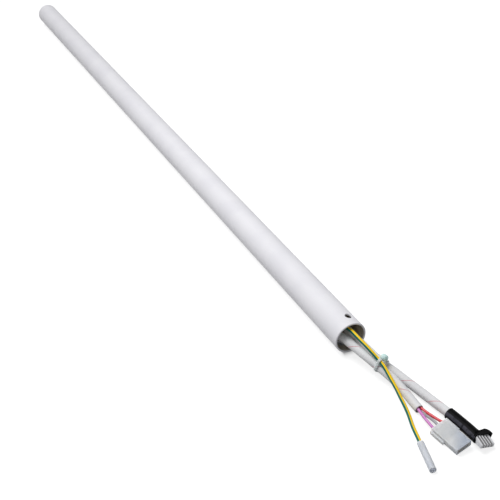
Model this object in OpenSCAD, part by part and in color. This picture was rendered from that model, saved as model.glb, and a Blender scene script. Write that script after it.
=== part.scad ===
// Ceiling fan downrod with its wiring loom drawn through it, lying on a table.
// The tube lies along X, its lowest line on z = 0 and its middle at x = 0.
// The motor end is at +X, where the leads come out, and the ceiling end is at -X.

/* [Downrod] */
// Length of the steel tube
rod_l = 900; // [600:10:1200]
// Outside diameter of the tube
rod_d = 28; // [27:0.5:32]
// Wall of the tube
rod_wall = 1.5; // [1:0.1:2]
// Chamfer on the edges of the two cut ends
rod_edge = 0.4; // [0.2:0.05:0.6]
// Diameter of the cross pin holes
pin_d = 6; // [4:0.5:6.5]
// Distance of each cross pin from its end of the tube
pin_inset = 11.3; // [8:0.1:14]
// Turn of the motor end's pin from upright, towards +Y
motor_pin_turn = 15; // [10:1:20]
// Turn of the ceiling end's pin from upright, towards +Y
ceiling_pin_turn = 60; // [0:5:90]

/* [Sleeves and wires] */
// Outside diameter of the motor lead's woven sleeve
motor_sleeve_d = 7; // [6:0.1:7.2]
// Outside diameter of the light lead's woven sleeve
light_sleeve_d = 7.2; // [6:0.1:7.4]
// Wall of the woven sleeves, seen at their open ends
sleeve_wall = 0.6; // [0.4:0.05:0.8]
// Depth of the open end of a sleeve
sleeve_open = 10; // [6:0.5:14]
// Outside diameter of the earth wire
earth_wire_d = 3; // [2.4:0.1:3.2]
// Outside diameter of the motor wires
motor_wire_d = 2.2; // [1.6:0.1:2.2]
// Outside diameter of the light wires
light_wire_d = 1.4; // [1:0.1:1.5]
// Gap between a sleeve and the wall of the tube
lane_gap = 0.6; // [0.4:0.1:1]

/* [Cable tie] */
// Width of the strap
tie_w = 2.6; // [2:0.1:3.6]
// Thickness of the strap
tie_t = 1; // [0.8:0.1:1.4]
// Gap between the strap and what it holds
tie_gap = 0.4; // [0.35:0.05:0.6]
// Length of the head along the strap
tie_head_l = 5.8; // [5.2:0.1:6.4]
// Width of the head
tie_head_w = 5.4; // [4.8:0.1:6]
// Height of the head over the strap's inner face
tie_head_h = 4.6; // [4:0.1:5.2]

/* [Motor plug, three ways] */
// Spacing of the contacts
motor_pitch = 4.5; // [4.2:0.1:4.8]
// Length of the housing
motor_plug_l = 25.4; // [23:0.2:28]
// Height of the housing
motor_plug_h = 5.2; // [5:0.1:6]
// Length of the wider rear half
motor_wing_l = 13; // [10:0.5:15]
// Width of the full height rail on the right
motor_rail_w = 1; // [0.6:0.1:1.2]
// Width of the low rail on the left
motor_ledge_w = 1.3; // [0.8:0.1:1.5]
// Height of the low rail on the left
motor_ledge_h = 3; // [2:0.1:4]
// Wall of the mating mouth
motor_wall = 1.2; // [1:0.1:1.4]
// Depth of the mating mouth
motor_mouth = 8; // [6:0.5:9]
// Side of the square wire cavities
motor_cavity = 3.2; // [2.9:0.1:3.4]
// Length of the wire cavities
motor_cavity_l = 15; // [13:0.5:15.5]
// Wall beside the outer wire cavities
motor_side = 0.95; // [0.8:0.05:1.2]
// Chamfer on the long edges of the housing
motor_edge = 0.4; // [0.2:0.05:0.5]

/* [Light plug, four ways] */
// Spacing of the contacts
light_pitch = 2.5; // [2.4:0.05:2.6]
// Length of the housing
light_plug_l = 11; // [10:0.2:13]
// Height at the rear
light_plug_h = 4.4; // [4:0.1:5]
// Height at the front, where the ribs run out
light_nose_h = 2.6; // [2.2:0.1:3.2]
// Length of the block at the rear
light_block_l = 3; // [2.4:0.1:4]
// Floor under the slots
light_floor = 1.2; // [0.8:0.1:1.4]
// Width of the slots
light_slot = 1.5; // [1.2:0.05:1.6]
// Outer side wall
light_side = 1.7; // [1.2:0.1:2]

/* [Heat shrink boot] */
// Wall of the shrunk tube
boot_wall = 0.8; // [0.6:0.05:1]
// Gap between the boot and what it grips
boot_gap = 0.15; // [0.1:0.05:0.3]
// Gap between the boot's flat mouth and the plug
boot_mouth_gap = 0.45; // [0.4:0.05:0.6]

/* [Earth terminal] */
// Outside diameter of the clear insulating sleeve
earth_sleeve_d = 5.2; // [5:0.1:6]
// Wall of the insulating sleeve
earth_sleeve_wall = 0.5; // [0.3:0.05:0.5]
// Length of the insulating sleeve
earth_sleeve_l = 26.8; // [25:0.2:30]
// Outside diameter of the receptacle
earth_socket_d = 3.6; // [3.4:0.1:3.6]
// Bore of the receptacle
earth_bore_d = 2.8; // [2.4:0.1:2.8]
// Depth of the bore
earth_bore_l = 12; // [8:0.5:13]
// Length of the receptacle
earth_socket_l = 16; // [14.5:0.5:18]
// Reach of the wire into the insulating sleeve
earth_wire_in = 6; // [4:0.5:7]

/* [Hidden] */

eps = 0.1;
rod_r = rod_d / 2;
bore_r = rod_r - rod_wall;
mouth_x = rod_l / 2;
motor_plug_w = 2 * motor_pitch + motor_cavity + 2 * motor_side;
light_plug_w = 3 * light_pitch + light_slot + 2 * light_side;
// Gap under what lies on the floor, and between the wall of the bore and what lies on it
floor_gap = 0.1;
bed_gap = 0.4;

// Sides of the swept tubes
sleeve_sides = 12;
wire_sides = 8;
boot_sides = 32;

// Distance from the tube's axis of a sleeve of diameter d that lies against the wall of the bore
function lane_r(d) = bore_r - d / 2 - lane_gap;
// A point in the bore on such a lane, turned round from the lowest line
function in_bore(x, d, turn) = [x, lane_r(d) * sin(turn), rod_r - lane_r(d) * cos(turn)];

// Turns of the two sleeves round the bore: side by side on the way through the tube, and beside the
// cross pin, which they straddle
function lane_turn(d) = asin((d + lane_gap) / 2 / lane_r(d));
motor_lane_turn = -lane_turn(motor_sleeve_d);
light_lane_turn = lane_turn(light_sleeve_d);
motor_pin_lane = -85;
light_pin_lane = 54;
// Height of the earth wire where it lies in the groove over the two sleeves
function over_sleeve(d) =
    let (side = (d + lane_gap) / 2, apart = (d + earth_wire_d + lane_gap) / 2)
    in_bore(0, d, lane_turn(d))[2] + sqrt(apart * apart - side * side);
groove_z = max(over_sleeve(motor_sleeve_d), over_sleeve(light_sleeve_d));

// Points measured from the motor end's mouth and from the ceiling end's mouth
function near(p) = [mouth_x + p[0], p[1], p[2]];
function far(p) = [p[0] - mouth_x, p[1], p[2]];
function in_motor_end(x, d, turn) = in_bore(mouth_x + x, d, turn);
function in_ceiling_end(x, d, turn) = in_bore(x - mouth_x, d, turn);

// Distance of the joins between a cord's run in the tube and its free stretch, inside the mouth
join_in = -25;

// Free stretches, from the join inside the motor end's mouth outwards. Where a cord is clear of
// the tube its points are given from the mouth's plane, y from the tube's axis and z from the floor.
motor_route = concat(
    [for (x = [join_in, -18, -11]) in_motor_end(x, motor_sleeve_d, motor_pin_lane)],
    [for (p = [
        [-7.5, -7.4, 13.7], [-4, -5.3, 13.75], [-1, -4.3, 13.3], [2.5, -3.7, 13.05], [7.5, -3, 13],
        [14, -2, 12.8], [20.5, -0.8, 12.5], [27.5, 0.8, 11.8], [36, 3.3, 10.2], [46, 5.8, 8.8],
        [56, 7.5, 7.2], [66, 8.3, 5.6], [76, 8.6, 4.2], [84, 8.6, 3.6]
    ]) near(p)]);
light_route = concat(
    [for (x = [join_in, -17, -9]) in_motor_end(x, light_sleeve_d, light_pin_lane)],
    [for (p = [
        [-2, 6.6, 9.4], [5, 6.7, 9.6], [13, 7.1, 9.6], [21, 7.8, 9.4], [29, 9, 9], [36.5, 10.6, 8.4],
        [45, 13.1, 7.6], [54, 15.6, 6.5], [63, 18.2, 5.4], [72, 20.4, 4.7], [80, 21.9, 4.6],
        [87.5, 23.1, 4.7], [95, 24.4, 4.75], [105, 25.9, 4.75]
    ]) near(p)]);
earth_route = [for (p = [
    [join_in, -3.4, 20.4], [-18, -3.4, 20.4], [-10, -3.1, 21.2], [-4.5, -1.7, 21.8], [1.5, -0.6, 22],
    [8.5, -0.3, 21.8], [15.5, 0.4, 21], [22, 1.3, 19.9], [28.5, 2.3, 18.3], [35.5, 3.6, 16.1],
    [43, 3.8, 14.6], [49.5, 3.4, 12.6], [56, 2.8, 10.8], [62.5, 2.3, 8.8], [68.5, 1.4, 7.2],
    [78.5, -0.4, 5.4], [88, -2.8, 3.9], [96, -5.4, 2.8]
]) near(p)];

// Where along each free route the tie holds the bundle
motor_tie_at = 11;
light_tie_at = 8;
earth_tie_at = 9;
// Share of the way from the earth wire to the light lead's sleeve at which the tie's head stands
tie_head_at = 0.36;

// Axis of the earth terminal, which lies on the floor: rear of its sleeve and its heading
earth_rear = near([112.4, -10.1, earth_sleeve_d / 2]);
earth_heading = -16;
function earth_point(s) = earth_rear + s * [cos(earth_heading), sin(earth_heading), 0];
// The wire runs straight behind the sleeve for the length that the sleeve can slide back
earth_straight = [-14, -7, 0, earth_wire_in];
earth_path = concat(earth_route, [for (s = earth_straight) earth_point(s)]);

// Runs through the tube, from the join at the motor end to the ceiling end
motor_run = concat(
    [for (x = [join_in, -32, -40]) in_motor_end(x, motor_sleeve_d, motor_pin_lane)],
    [in_motor_end(-75, motor_sleeve_d, -70), in_motor_end(-110, motor_sleeve_d, -45),
     in_motor_end(-150, motor_sleeve_d, motor_lane_turn)],
    [for (x = [200, 160, 148]) in_ceiling_end(x, motor_sleeve_d, motor_lane_turn)]);
light_run = concat(
    [for (x = [join_in, -32, -40]) in_motor_end(x, light_sleeve_d, light_pin_lane)],
    [in_motor_end(-75, light_sleeve_d, 47), in_motor_end(-110, light_sleeve_d, 36),
     in_motor_end(-150, light_sleeve_d, light_lane_turn)],
    [in_ceiling_end(196, light_sleeve_d, light_lane_turn)],
    [for (p = [
        [182, 4.2, 7.6], [168, 4.5, 10.2], [154, 4.7, 12.8], [142, 4.8, 14.2], [128, 4.8, 14.5],
        [112, 4.8, 14.5], [98, 4.6, 14.2], [90, 3.6, 12.4], [83, 2, 10.2], [76, 0.9, 8.8], [68, 0.4, 8.1]
    ]) far(p)]);
earth_run = concat(
    [for (p = [[join_in, -3.4, 20.4], [-32, -3.4, 20.4], [-50, -3, 18.6], [-75, -2, 15.4], [-105, -0.8, 12],
               [-150, 0, groove_z]]) near(p)],
    [for (p = [[196, 0, groove_z], [176, -0.8, 10.8], [158, -2.6, 12], [146, -3.8, 12.6], [138, -4, 12.7],
               [130, -4, 12.7]]) far(p)]);

// Height of the bed that the bore gives a flat piece of a half width
function bed_z(half) = rod_r - sqrt(pow(bore_r - bed_gap, 2) - half * half);

// Poses of the plugs
motor_plug_pos = near([105.6, 10.3, 2.75]);
motor_plug_turn = [9, 3.5, 9];
ceiling_motor_pos = far([125.4, 0, bed_z(motor_plug_w / 2 + motor_ledge_w)]);
ceiling_turn = [0, 0, 180];
// The light plugs are placed by the middle of their rear. The one at the motor end leans over to
// +Y, with the low edge of its boot's mouth on the floor.
boot_skirt = boot_mouth_gap + boot_wall;
light_lean = 15;
light_turn = [-light_lean, 0, 0];
light_rear = near([126.3, 29.6,
    floor_gap + (light_plug_w / 2 + boot_skirt) * sin(light_lean)
    + (light_plug_h / 2 + boot_skirt) * cos(light_lean)]);
ceiling_light_rear = far([48, 0, boot_skirt + light_plug_h / 2 + bed_z(light_plug_w / 2 + boot_skirt)]);

// A point turned about x, y and z in that order, and a point of the motor plug's own frame
function turned(p, w) =
    let (
        a = [p[0], p[1] * cos(w[0]) - p[2] * sin(w[0]), p[1] * sin(w[0]) + p[2] * cos(w[0])],
        b = [a[0] * cos(w[1]) + a[2] * sin(w[1]), a[1], a[2] * cos(w[1]) - a[0] * sin(w[1])]
    )
    [b[0] * cos(w[2]) - b[1] * sin(w[2]), b[0] * sin(w[2]) + b[1] * cos(w[2]), b[2]];
function in_motor_plug(p) = motor_plug_pos + turned(p, motor_plug_turn);

// Contacts of the three way plug: where their crimped rear stands, their blades and their gaps
contact_rear = 6.1;
contact_gap = 0.2;
blade_w = 1.8;
blade_t = 0.8;
blade_gap = 0.1;
blade_short = 2;
// The last stretch of a motor wire, in the plug's cavity
function motor_way(i) =
    [for (x = [0, contact_rear - eps]) in_motor_plug([x, i * motor_pitch, motor_plug_h / 2])];

// Contacts of the four way plug, and the wires' holes in its rear block
light_contact_rear = 1.5;
light_lead_in = 0.8;
light_wire_gap = 0.15;
light_hole = light_wire_d + 2 * light_wire_gap;
light_wire_z = light_floor + light_hole / 2;
strip_gap = 0.05;
strip_w = light_slot - 6 * strip_gap;
strip_t = 0.5;
strip_short = 1.2;
function light_way(i) = (i - 1.5) * light_pitch;

// Motor wires from the open end of the sleeve to the plug's cavities
motor_wire_route_red = concat([for (p = [
    [74.4, 9.7, 5.6], [79, 9.75, 5.1], [84, 9.8, 4.8], [88, 10.3, 4.9], [92, 10.9, 5.2], [97, 12, 5.5],
    [102, 13.3, 5.8]
]) near(p)], motor_way(1));
motor_wire_route_grey = concat([for (p = [
    [74.2, 7.7, 3], [79, 8, 2.5], [84, 8.5, 2.3], [88, 9, 2.7], [92, 9.4, 3.6], [97, 9.7, 4.7],
    [102, 9.9, 5.3]
]) near(p)], motor_way(0));
motor_wire_route_violet = concat([for (p = [
    [74.4, 7.4, 5.3], [79, 7.2, 4.8], [84, 7.3, 4.5], [88, 6.8, 4.6], [92, 6.2, 4.8], [97, 5.6, 5],
    [102, 5.4, 5]
]) near(p)], motor_way(-1));

// Vectors and rings for the swept tubes
function unit(v) = v / norm(v);
function heading(path, i) = unit(path[min(i + 1, len(path) - 1)] - path[max(i - 1, 0)]);
function power(c, e) = sign(c) * pow(abs(c), 2 / e);
function leant(side, t, lean) = cos(lean) * side - sin(lean) * cross(t, side);
// A ring round centre c, square to t, with half width a and half height b. An exponent e of 2
// gives an ellipse, and a higher one a rounder cornered rectangle. The ring leans round t.
function ring(c, t, a, b, sides, e = 2, lean = 0) =
    let (flat = unit(cross([0, 0, 1], t)), side = leant(flat, t, lean), up = cross(t, side))
    [for (k = [0 : sides - 1])
        let (w = 360 * (k + 0.5) / sides)
        c + a * power(cos(w), e) * side + b * power(sin(w), e) * up];

// Skin over a row of rings of equal count, closed by flat ends or, as a loop, onto itself
module skin(rings, loop = false) {
    n = len(rings[0]);
    m = len(rings);
    spans = loop ? m : m - 1;
    walls = [for (i = [0 : spans - 1], k = [0 : n - 1], half = [0, 1])
        let (
            a = i * n + k,
            b = i * n + (k + 1) % n,
            c = ((i + 1) % m) * n + k,
            d = ((i + 1) % m) * n + (k + 1) % n
        )
        half == 0 ? [a, c, b] : [b, c, d]];
    ends = loop ? [] : [[for (k = [0 : n - 1]) k], [for (k = [n - 1 : -1 : 0]) (m - 1) * n + k]];
    polyhedron(points = [for (r = rings, p = r) p], faces = concat(walls, ends));
}

function tube_rings(path, d, sides) =
    [for (i = [0 : len(path) - 1]) ring(path[i], heading(path, i), d / 2, d / 2, sides)];

// A plain cord along its path
module cord(path, d, sides) {
    skin(tube_rings(path, d, sides));
}

// A sleeve whose last end is open to a depth, so that its wires start inside it
module open_sleeve(path, d) {
    last = len(path) - 1;
    t = heading(path, last);
    inner = d / 2 - sleeve_wall;
    skin(concat(
        tube_rings(path, d, sleeve_sides),
        [ring(path[last], t, inner, inner, sleeve_sides)],
        [ring(path[last] - sleeve_open * t, t, inner, inner, sleeve_sides)]));
}

// Bar along +X from x = 0, standing on z = 0, with its long edges chamfered
module bar(l, w, h, edge) {
    rotate([90, 0, 90])
        linear_extrude(l)
            polygon([
                [-w / 2 + edge, 0], [w / 2 - edge, 0], [w / 2, edge], [w / 2, h - edge],
                [w / 2 - edge, h], [-w / 2 + edge, h], [-w / 2, h - edge], [-w / 2, edge]
            ]);
}

// Downrod

module pin_hole(x, turn) {
    translate([x, 0, rod_r])
        rotate([-turn, 0, 0])
            cylinder(d = pin_d, h = rod_d + 2 * eps, center = true, $fn = 64);
}

module downrod_tube() {
    color("whitesmoke")
        difference() {
            translate([-mouth_x, 0, rod_r])
                rotate([0, 90, 0])
                    rotate_extrude($fn = 128)
                        polygon([
                            [bore_r + rod_edge, 0], [rod_r - rod_edge, 0], [rod_r, rod_edge],
                            [rod_r, rod_l - rod_edge], [rod_r - rod_edge, rod_l],
                            [bore_r + rod_edge, rod_l], [bore_r, rod_l - rod_edge], [bore_r, rod_edge]
                        ]);
            pin_hole(mouth_x - pin_inset, motor_pin_turn);
            pin_hole(pin_inset - mouth_x, ceiling_pin_turn);
        }
}

// Sleeves and earth wire

module motor_sleeve_run() {
    color("gainsboro") open_sleeve(motor_run, motor_sleeve_d);
}

module motor_sleeve() {
    color("gainsboro") open_sleeve(motor_route, motor_sleeve_d);
}

module light_sleeve_run() {
    color("gainsboro") open_sleeve(light_run, light_sleeve_d);
}

module light_sleeve() {
    color("gainsboro") open_sleeve(light_route, light_sleeve_d);
}

module earth_wire_run() {
    color("seagreen") cord(earth_run, earth_wire_d, wire_sides);
}

module earth_wire() {
    color("seagreen") cord(earth_path, earth_wire_d, wire_sides);
}

// Cable tie, square to the bundle where it holds it

tie_centre = motor_route[motor_tie_at];
tie_axis = unit(heading(motor_route, motor_tie_at) + heading(light_route, light_tie_at));
tie_side = unit(cross([0, 0, 1], tie_axis));
tie_up = cross(tie_axis, tie_side);
// A cord's centre where it crosses the tie's plane, in that plane
function in_tie(path, i) =
    let (
        p = path[i] - tie_centre,
        t = heading(path, i),
        q = p - t * (p * tie_axis) / (t * tie_axis)
    )
    [q * tie_side, q * tie_up];
// Outward normal of the line that touches two circles on their left, going from the first
function touch_normal(c1, r1, c2, r2) =
    let (d = c2 - c1, w = atan2(d[1], d[0]) + acos((r1 - r2) / norm(d)))
    [cos(w), sin(w)];

module tie_outline(grow) {
    hull()
        for (c = [[in_tie(motor_route, motor_tie_at), motor_sleeve_d],
                  [in_tie(light_route, light_tie_at), light_sleeve_d],
                  [in_tie(earth_path, earth_tie_at), earth_wire_d]])
            translate(c[0]) circle(r = c[1] / 2 + tie_gap + grow, $fn = 32);
}

module cable_tie() {
    earth_at = in_tie(earth_path, earth_tie_at);
    light_at = in_tie(light_route, light_tie_at);
    r_earth = earth_wire_d / 2 + tie_gap;
    r_light = light_sleeve_d / 2 + tie_gap;
    n = touch_normal(earth_at, r_earth, light_at, r_light);
    on_earth = earth_at + r_earth * n;
    on_light = light_at + r_light * n;
    seat = on_earth + tie_head_at * (on_light - on_earth);
    color("paleturquoise")
        multmatrix([
            [tie_side[0], tie_up[0], tie_axis[0], tie_centre[0]],
            [tie_side[1], tie_up[1], tie_axis[1], tie_centre[1]],
            [tie_side[2], tie_up[2], tie_axis[2], tie_centre[2]]
        ]) {
            linear_extrude(tie_w, center = true)
                difference() {
                    tie_outline(tie_t);
                    tie_outline(0);
                }
            translate([seat[0], seat[1], 0])
                rotate([0, 0, atan2(n[1], n[0]) - 90])
                    tie_head();
        }
}

// Head standing on y = 0, with rounded corners
module tie_head() {
    corner = 2.2;
    hull()
        for (x = [-1, 1], z = [-1, 1])
            translate([x * (tie_head_l / 2 - corner), 0, z * (tie_head_w / 2 - corner)])
                rotate([-90, 0, 0]) {
                    cylinder(r = corner, h = tie_head_h - corner / 2, $fn = 24);
                    cylinder(r = corner / 2, h = tie_head_h, $fn = 24);
                }
}

// Three way plug, in its own frame: wires enter at x = 0 and its mouth faces +X

module three_way_housing() {
    web_x = motor_plug_l - motor_mouth;
    slit_w = blade_w + 2 * blade_gap;
    slit_t = blade_t + 2 * blade_gap;
    difference() {
        union() {
            bar(motor_plug_l, motor_plug_w, motor_plug_h, motor_edge);
            translate([0, motor_plug_w / 2 - eps, 0])
                cube([motor_wing_l, motor_rail_w + eps, motor_plug_h]);
            translate([0, -motor_plug_w / 2 - motor_ledge_w, 0])
                cube([motor_wing_l, motor_ledge_w + eps, motor_ledge_h]);
        }
        for (i = [-1 : 1]) {
            translate([-eps, i * motor_pitch - motor_cavity / 2, (motor_plug_h - motor_cavity) / 2])
                cube([motor_cavity_l + eps, motor_cavity, motor_cavity]);
            translate([motor_cavity_l - eps, i * motor_pitch - slit_w / 2, (motor_plug_h - slit_t) / 2])
                cube([web_x - motor_cavity_l + 2 * eps, slit_w, slit_t]);
        }
        translate([web_x, motor_wall - motor_plug_w / 2, motor_wall])
            cube([motor_mouth + eps, motor_plug_w - 2 * motor_wall, motor_plug_h - 2 * motor_wall]);
    }
}

module three_way_contacts() {
    box = motor_cavity - 2 * contact_gap;
    for (i = [-1 : 1])
        translate([0, i * motor_pitch, motor_plug_h / 2]) {
            translate([contact_rear, -box / 2, -box / 2])
                cube([motor_cavity_l - contact_rear - contact_gap, box, box]);
            translate([contact_rear, -blade_w / 2, -blade_t / 2])
                cube([motor_plug_l - blade_short - contact_rear, blade_w, blade_t]);
        }
}

// Four way plug, in its own frame: wires enter at x = 0 and the open slots run out at +X

module four_way_housing() {
    difference() {
        translate([0, light_plug_w / 2, 0])
            rotate([90, 0, 0])
                linear_extrude(light_plug_w)
                    polygon([
                        [0, 0], [light_plug_l, 0], [light_plug_l, light_nose_h],
                        [light_block_l, light_plug_h], [0, light_plug_h]
                    ]);
        for (i = [0 : 3])
            translate([0, light_way(i), light_floor]) {
                translate([light_block_l, -light_slot / 2, 0])
                    cube([light_plug_l, light_slot, light_plug_h]);
                translate([-eps, -light_hole / 2, 0])
                    cube([light_block_l + 2 * eps, light_hole, light_hole]);
            }
    }
}

module four_way_contacts() {
    for (i = [0 : 3])
        translate([light_contact_rear, light_way(i) - strip_w / 2, light_floor + strip_gap]) {
            cube([light_plug_l - strip_short - light_contact_rear, strip_w, strip_t]);
            cube([light_block_l, strip_w, light_wire_d]);
        }
}

// Placing in the two plugs' frames
module at_motor_plug() {
    translate(motor_plug_pos) rotate(motor_plug_turn) children();
}

module at_light_plug() {
    translate(light_rear) rotate(light_turn) translate([0, 0, -light_plug_h / 2]) children();
}

module at_ceiling_motor_plug() {
    translate(ceiling_motor_pos) rotate(ceiling_turn) children();
}

module at_ceiling_light_plug() {
    translate(ceiling_light_rear) rotate(ceiling_turn) translate([0, 0, -light_plug_h / 2]) children();
}

module motor_wire_red() {
    color("crimson") cord(motor_wire_route_red, motor_wire_d, wire_sides);
}

module motor_wire_grey() {
    color("gray") cord(motor_wire_route_grey, motor_wire_d, wire_sides);
}

module motor_wire_violet() {
    color("orchid") cord(motor_wire_route_violet, motor_wire_d, wire_sides);
}

module motor_plug() {
    color("lightsteelblue") at_motor_plug() three_way_housing();
}

module motor_plug_contacts() {
    color("silver") at_motor_plug() three_way_contacts();
}

// Light lead's end

// Point a share s of the way along the last stretch of a path
function on_last(path, s) =
    let (n = len(path))
    path[n - 2] + s * (path[n - 1] - path[n - 2]);

// Half width and half height inside a boot where its section has gone a share s of the way from the
// sleeve's round to the plug's flat oblong
boot_round_r = light_sleeve_d / 2 + boot_gap;
function boot_half_w(s) = boot_round_r + s * (light_plug_w / 2 + boot_mouth_gap - boot_round_r);
function boot_half_h(s) = boot_round_r + s * (light_plug_h / 2 + boot_mouth_gap - boot_round_r);
// Exponent of that section's outline, from an ellipse's to a near oblong's
boot_corners = 8;
function boot_exponent(s) = 2 + boot_corners * s * s;

// Stations along a boot: each is a centre and its share s
boot_lap = 0.32;
boot_on_plug = [-0.4, 2.8];
function lap_stations(path) = [for (s = [boot_lap, 1]) [on_last(path, s), 0]];
function plug_stations(rear, flip) = [for (x = boot_on_plug) [rear + [flip * x, 0, 0], 1]];
// Height of a section's middle where it leans over by its share with its low edge on the floor
function boot_rest_z(s) =
    floor_gap + (boot_half_w(s) + boot_wall) * sin(s * light_lean)
    + (boot_half_h(s) + boot_wall) * cos(s * light_lean);
light_boot_stations = concat(
    lap_stations(light_route),
    [for (p = [[111, 26.7, 0], [117, 27.4, 0], [121, 27.9, 0.02], [123.2, 28.3, 0.1],
               [124.5, 28.8, 0.5], [125.3, 29.2, 0.9]])
        [near([p[0], p[1], boot_rest_z(p[2])]), p[2]]],
    plug_stations(light_rear, 1));
ceiling_boot_stations = concat(
    lap_stations(light_run),
    [for (p = [[62, 0.2, 0.02], [57, 0.1, 0.1], [52.5, 0, 0.5], [49.8, 0, 0.9]])
        [far([p[0], p[1], ceiling_light_rear[2]]), p[2]]],
    plug_stations(ceiling_light_rear, -1));

// Boot shrunk over a sleeve's end and a plug's rear
module shrunk_boot(stations, lean) {
    path = [for (s = stations) s[0]];
    last = len(stations) - 1;
    function section(i, grow) =
        let (s = stations[i][1], t = unit((1 - s) * heading(path, i) + s * heading(path, last)))
        ring(path[i], t, boot_half_w(s) + grow, boot_half_h(s) + grow, boot_sides, boot_exponent(s),
            s * lean);
    skin(concat(
        [for (i = [0 : last]) section(i, boot_wall)],
        [for (i = [last : -1 : 0]) section(i, 0)]), loop = true);
}

// Four wires inside a boot: bunched in the sleeve's open end, they fan out to the plug's ways.
// A wire's place off the boot's centre line, square to u, where the fan has opened by a share s
bunch_turns = [225, 135, 45, 315];
bunch_r = 1.05 * light_wire_d;
function fan_offset(i, s, u, lean) =
    let (
        bunch = bunch_r * [cos(bunch_turns[i]), sin(bunch_turns[i])],
        spread = [light_way(i), light_wire_z - light_plug_h / 2],
        q = bunch + s * (spread - bunch),
        side = leant(unit(cross([0, 0, 1], u)), u, s * lean)
    )
    q[0] * side + q[1] * cross(u, side);

module fanned_wires(path, stations, rear, flip, lean) {
    last = len(path) - 1;
    t = heading(path, last);
    centres = [for (s = stations) s[0]];
    out = [flip, 0, 0];
    for (i = [0 : 3])
        cord(concat(
            [for (back = [sleeve_open, 0]) path[last] - back * t + fan_offset(i, 0, t, lean)],
            [for (k = [2 : len(stations) - 4])
                centres[k] + fan_offset(i, stations[k][1], heading(centres, k), lean)],
            [for (x = [-light_lead_in, 0, light_contact_rear])
                rear + x * out + fan_offset(i, 1, out, lean)]),
            light_wire_d, wire_sides);
}

module light_wires() {
    color("dimgray") fanned_wires(light_route, light_boot_stations, light_rear, 1, light_lean);
}

module light_boot() {
    color("black") shrunk_boot(light_boot_stations, light_lean);
}

module light_plug() {
    color("white") at_light_plug() four_way_housing();
}

module light_plug_contacts() {
    color("silver") at_light_plug() four_way_contacts();
}

// Earth terminal: a receptacle crimped to the wire, in a clear sleeve that slides back along it

module along_earth() {
    translate(earth_rear) rotate([0, 0, earth_heading]) rotate([0, 90, 0]) children();
}

module earth_terminal() {
    crimp_l = 3;
    crimp_r = earth_socket_d / 2 - 0.15;
    lip = 0.2;
    r = earth_socket_d / 2;
    rear = earth_wire_in + eps;
    front = rear + earth_socket_l;
    color("silver")
        along_earth()
            rotate_extrude($fn = 64)
                polygon([
                    [0, rear], [crimp_r, rear], [crimp_r, rear + crimp_l], [r, rear + crimp_l + lip],
                    [r, front - lip], [r - lip, front], [earth_bore_d / 2, front],
                    [earth_bore_d / 2, front - earth_bore_l], [0, front - earth_bore_l]
                ]);
}

module earth_terminal_sleeve() {
    r = earth_sleeve_d / 2;
    inner = r - earth_sleeve_wall;
    edge = 0.2;
    color("aliceblue")
        along_earth()
            rotate_extrude($fn = 64)
                polygon([
                    [inner, 0], [r - edge, 0], [r, edge], [r, earth_sleeve_l - edge],
                    [r - edge, earth_sleeve_l], [inner, earth_sleeve_l]
                ]);
}

// Ceiling end, tucked into the tube clear of the cross pin

// Cubic curve from a to d that leaves towards b and arrives from c
function bezier(a, b, c, d, s) =
    pow(1 - s, 3) * a + 3 * s * pow(1 - s, 2) * b + 3 * s * s * (1 - s) * c + pow(s, 3) * d;

module ceiling_motor_wires() {
    last = len(motor_run) - 1;
    t = heading(motor_run, last);
    motor_bunch_r = 0.72 * motor_wire_d;
    bend_reach = 0.4;
    steps = 8;
    color("dimgray")
        for (i = [-1 : 1]) {
            turn = 90 - 120 * i;
            off = motor_bunch_r * [0, -cos(turn), sin(turn)];
            mouth = motor_run[last] + off;
            entry = ceiling_motor_pos + [0, -i * motor_pitch, motor_plug_h / 2];
            reach = bend_reach * norm(entry - mouth);
            cord(concat(
                [mouth - sleeve_open * t],
                [for (k = [0 : steps])
                    bezier(mouth, mouth + reach * t, entry - reach * t, entry, k / steps)],
                [entry + (contact_rear - eps) * t]),
                motor_wire_d, wire_sides);
        }
}

module ceiling_motor_plug() {
    color("lightsteelblue") at_ceiling_motor_plug() three_way_housing();
}

module ceiling_motor_contacts() {
    color("silver") at_ceiling_motor_plug() three_way_contacts();
}

module ceiling_light_wires() {
    color("dimgray") fanned_wires(light_run, ceiling_boot_stations, ceiling_light_rear, -1, 0);
}

module ceiling_light_boot() {
    color("black") shrunk_boot(ceiling_boot_stations, 0);
}

module ceiling_light_plug() {
    color("white") at_ceiling_light_plug() four_way_housing();
}

module ceiling_light_contacts() {
    color("silver") at_ceiling_light_plug() four_way_contacts();
}

// Bullet that mates with a receptacle like the one at the motor end
module ceiling_earth_bullet() {
    crimp_l = 9;
    pin_l = earth_bore_l - 2;
    r = earth_bore_d / 2 - 0.05;
    crimp_r = earth_socket_d / 2;
    tip = 0.6;
    wire_end = earth_run[len(earth_run) - 1];
    color("silver")
        translate(wire_end - [eps, 0, 0])
            rotate([0, -90, 0])
                rotate_extrude($fn = 64)
                    polygon([
                        [0, 0], [crimp_r, 0], [crimp_r, crimp_l], [r, crimp_l + tip],
                        [r, crimp_l + pin_l - tip], [r - tip, crimp_l + pin_l], [0, crimp_l + pin_l]
                    ]);
}

downrod_tube();
motor_sleeve_run();
motor_sleeve();
light_sleeve_run();
light_sleeve();
earth_wire_run();
earth_wire();
cable_tie();
motor_wire_red();
motor_wire_grey();
motor_wire_violet();
motor_plug();
motor_plug_contacts();
light_wires();
light_boot();
light_plug();
light_plug_contacts();
earth_terminal();
earth_terminal_sleeve();
ceiling_motor_wires();
ceiling_motor_plug();
ceiling_motor_contacts();
ceiling_light_wires();
ceiling_light_boot();
ceiling_light_plug();
ceiling_light_contacts();
ceiling_earth_bullet();
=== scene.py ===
"""Looks of a ceiling fan downrod with its wiring loom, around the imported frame.

Shapes are worked out in millimetres in the row frame: X along the tube with the motor end at +X, Z up and the
floor at z = 0. They become metres when a mesh is made. Materials work in metres.
"""

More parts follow.
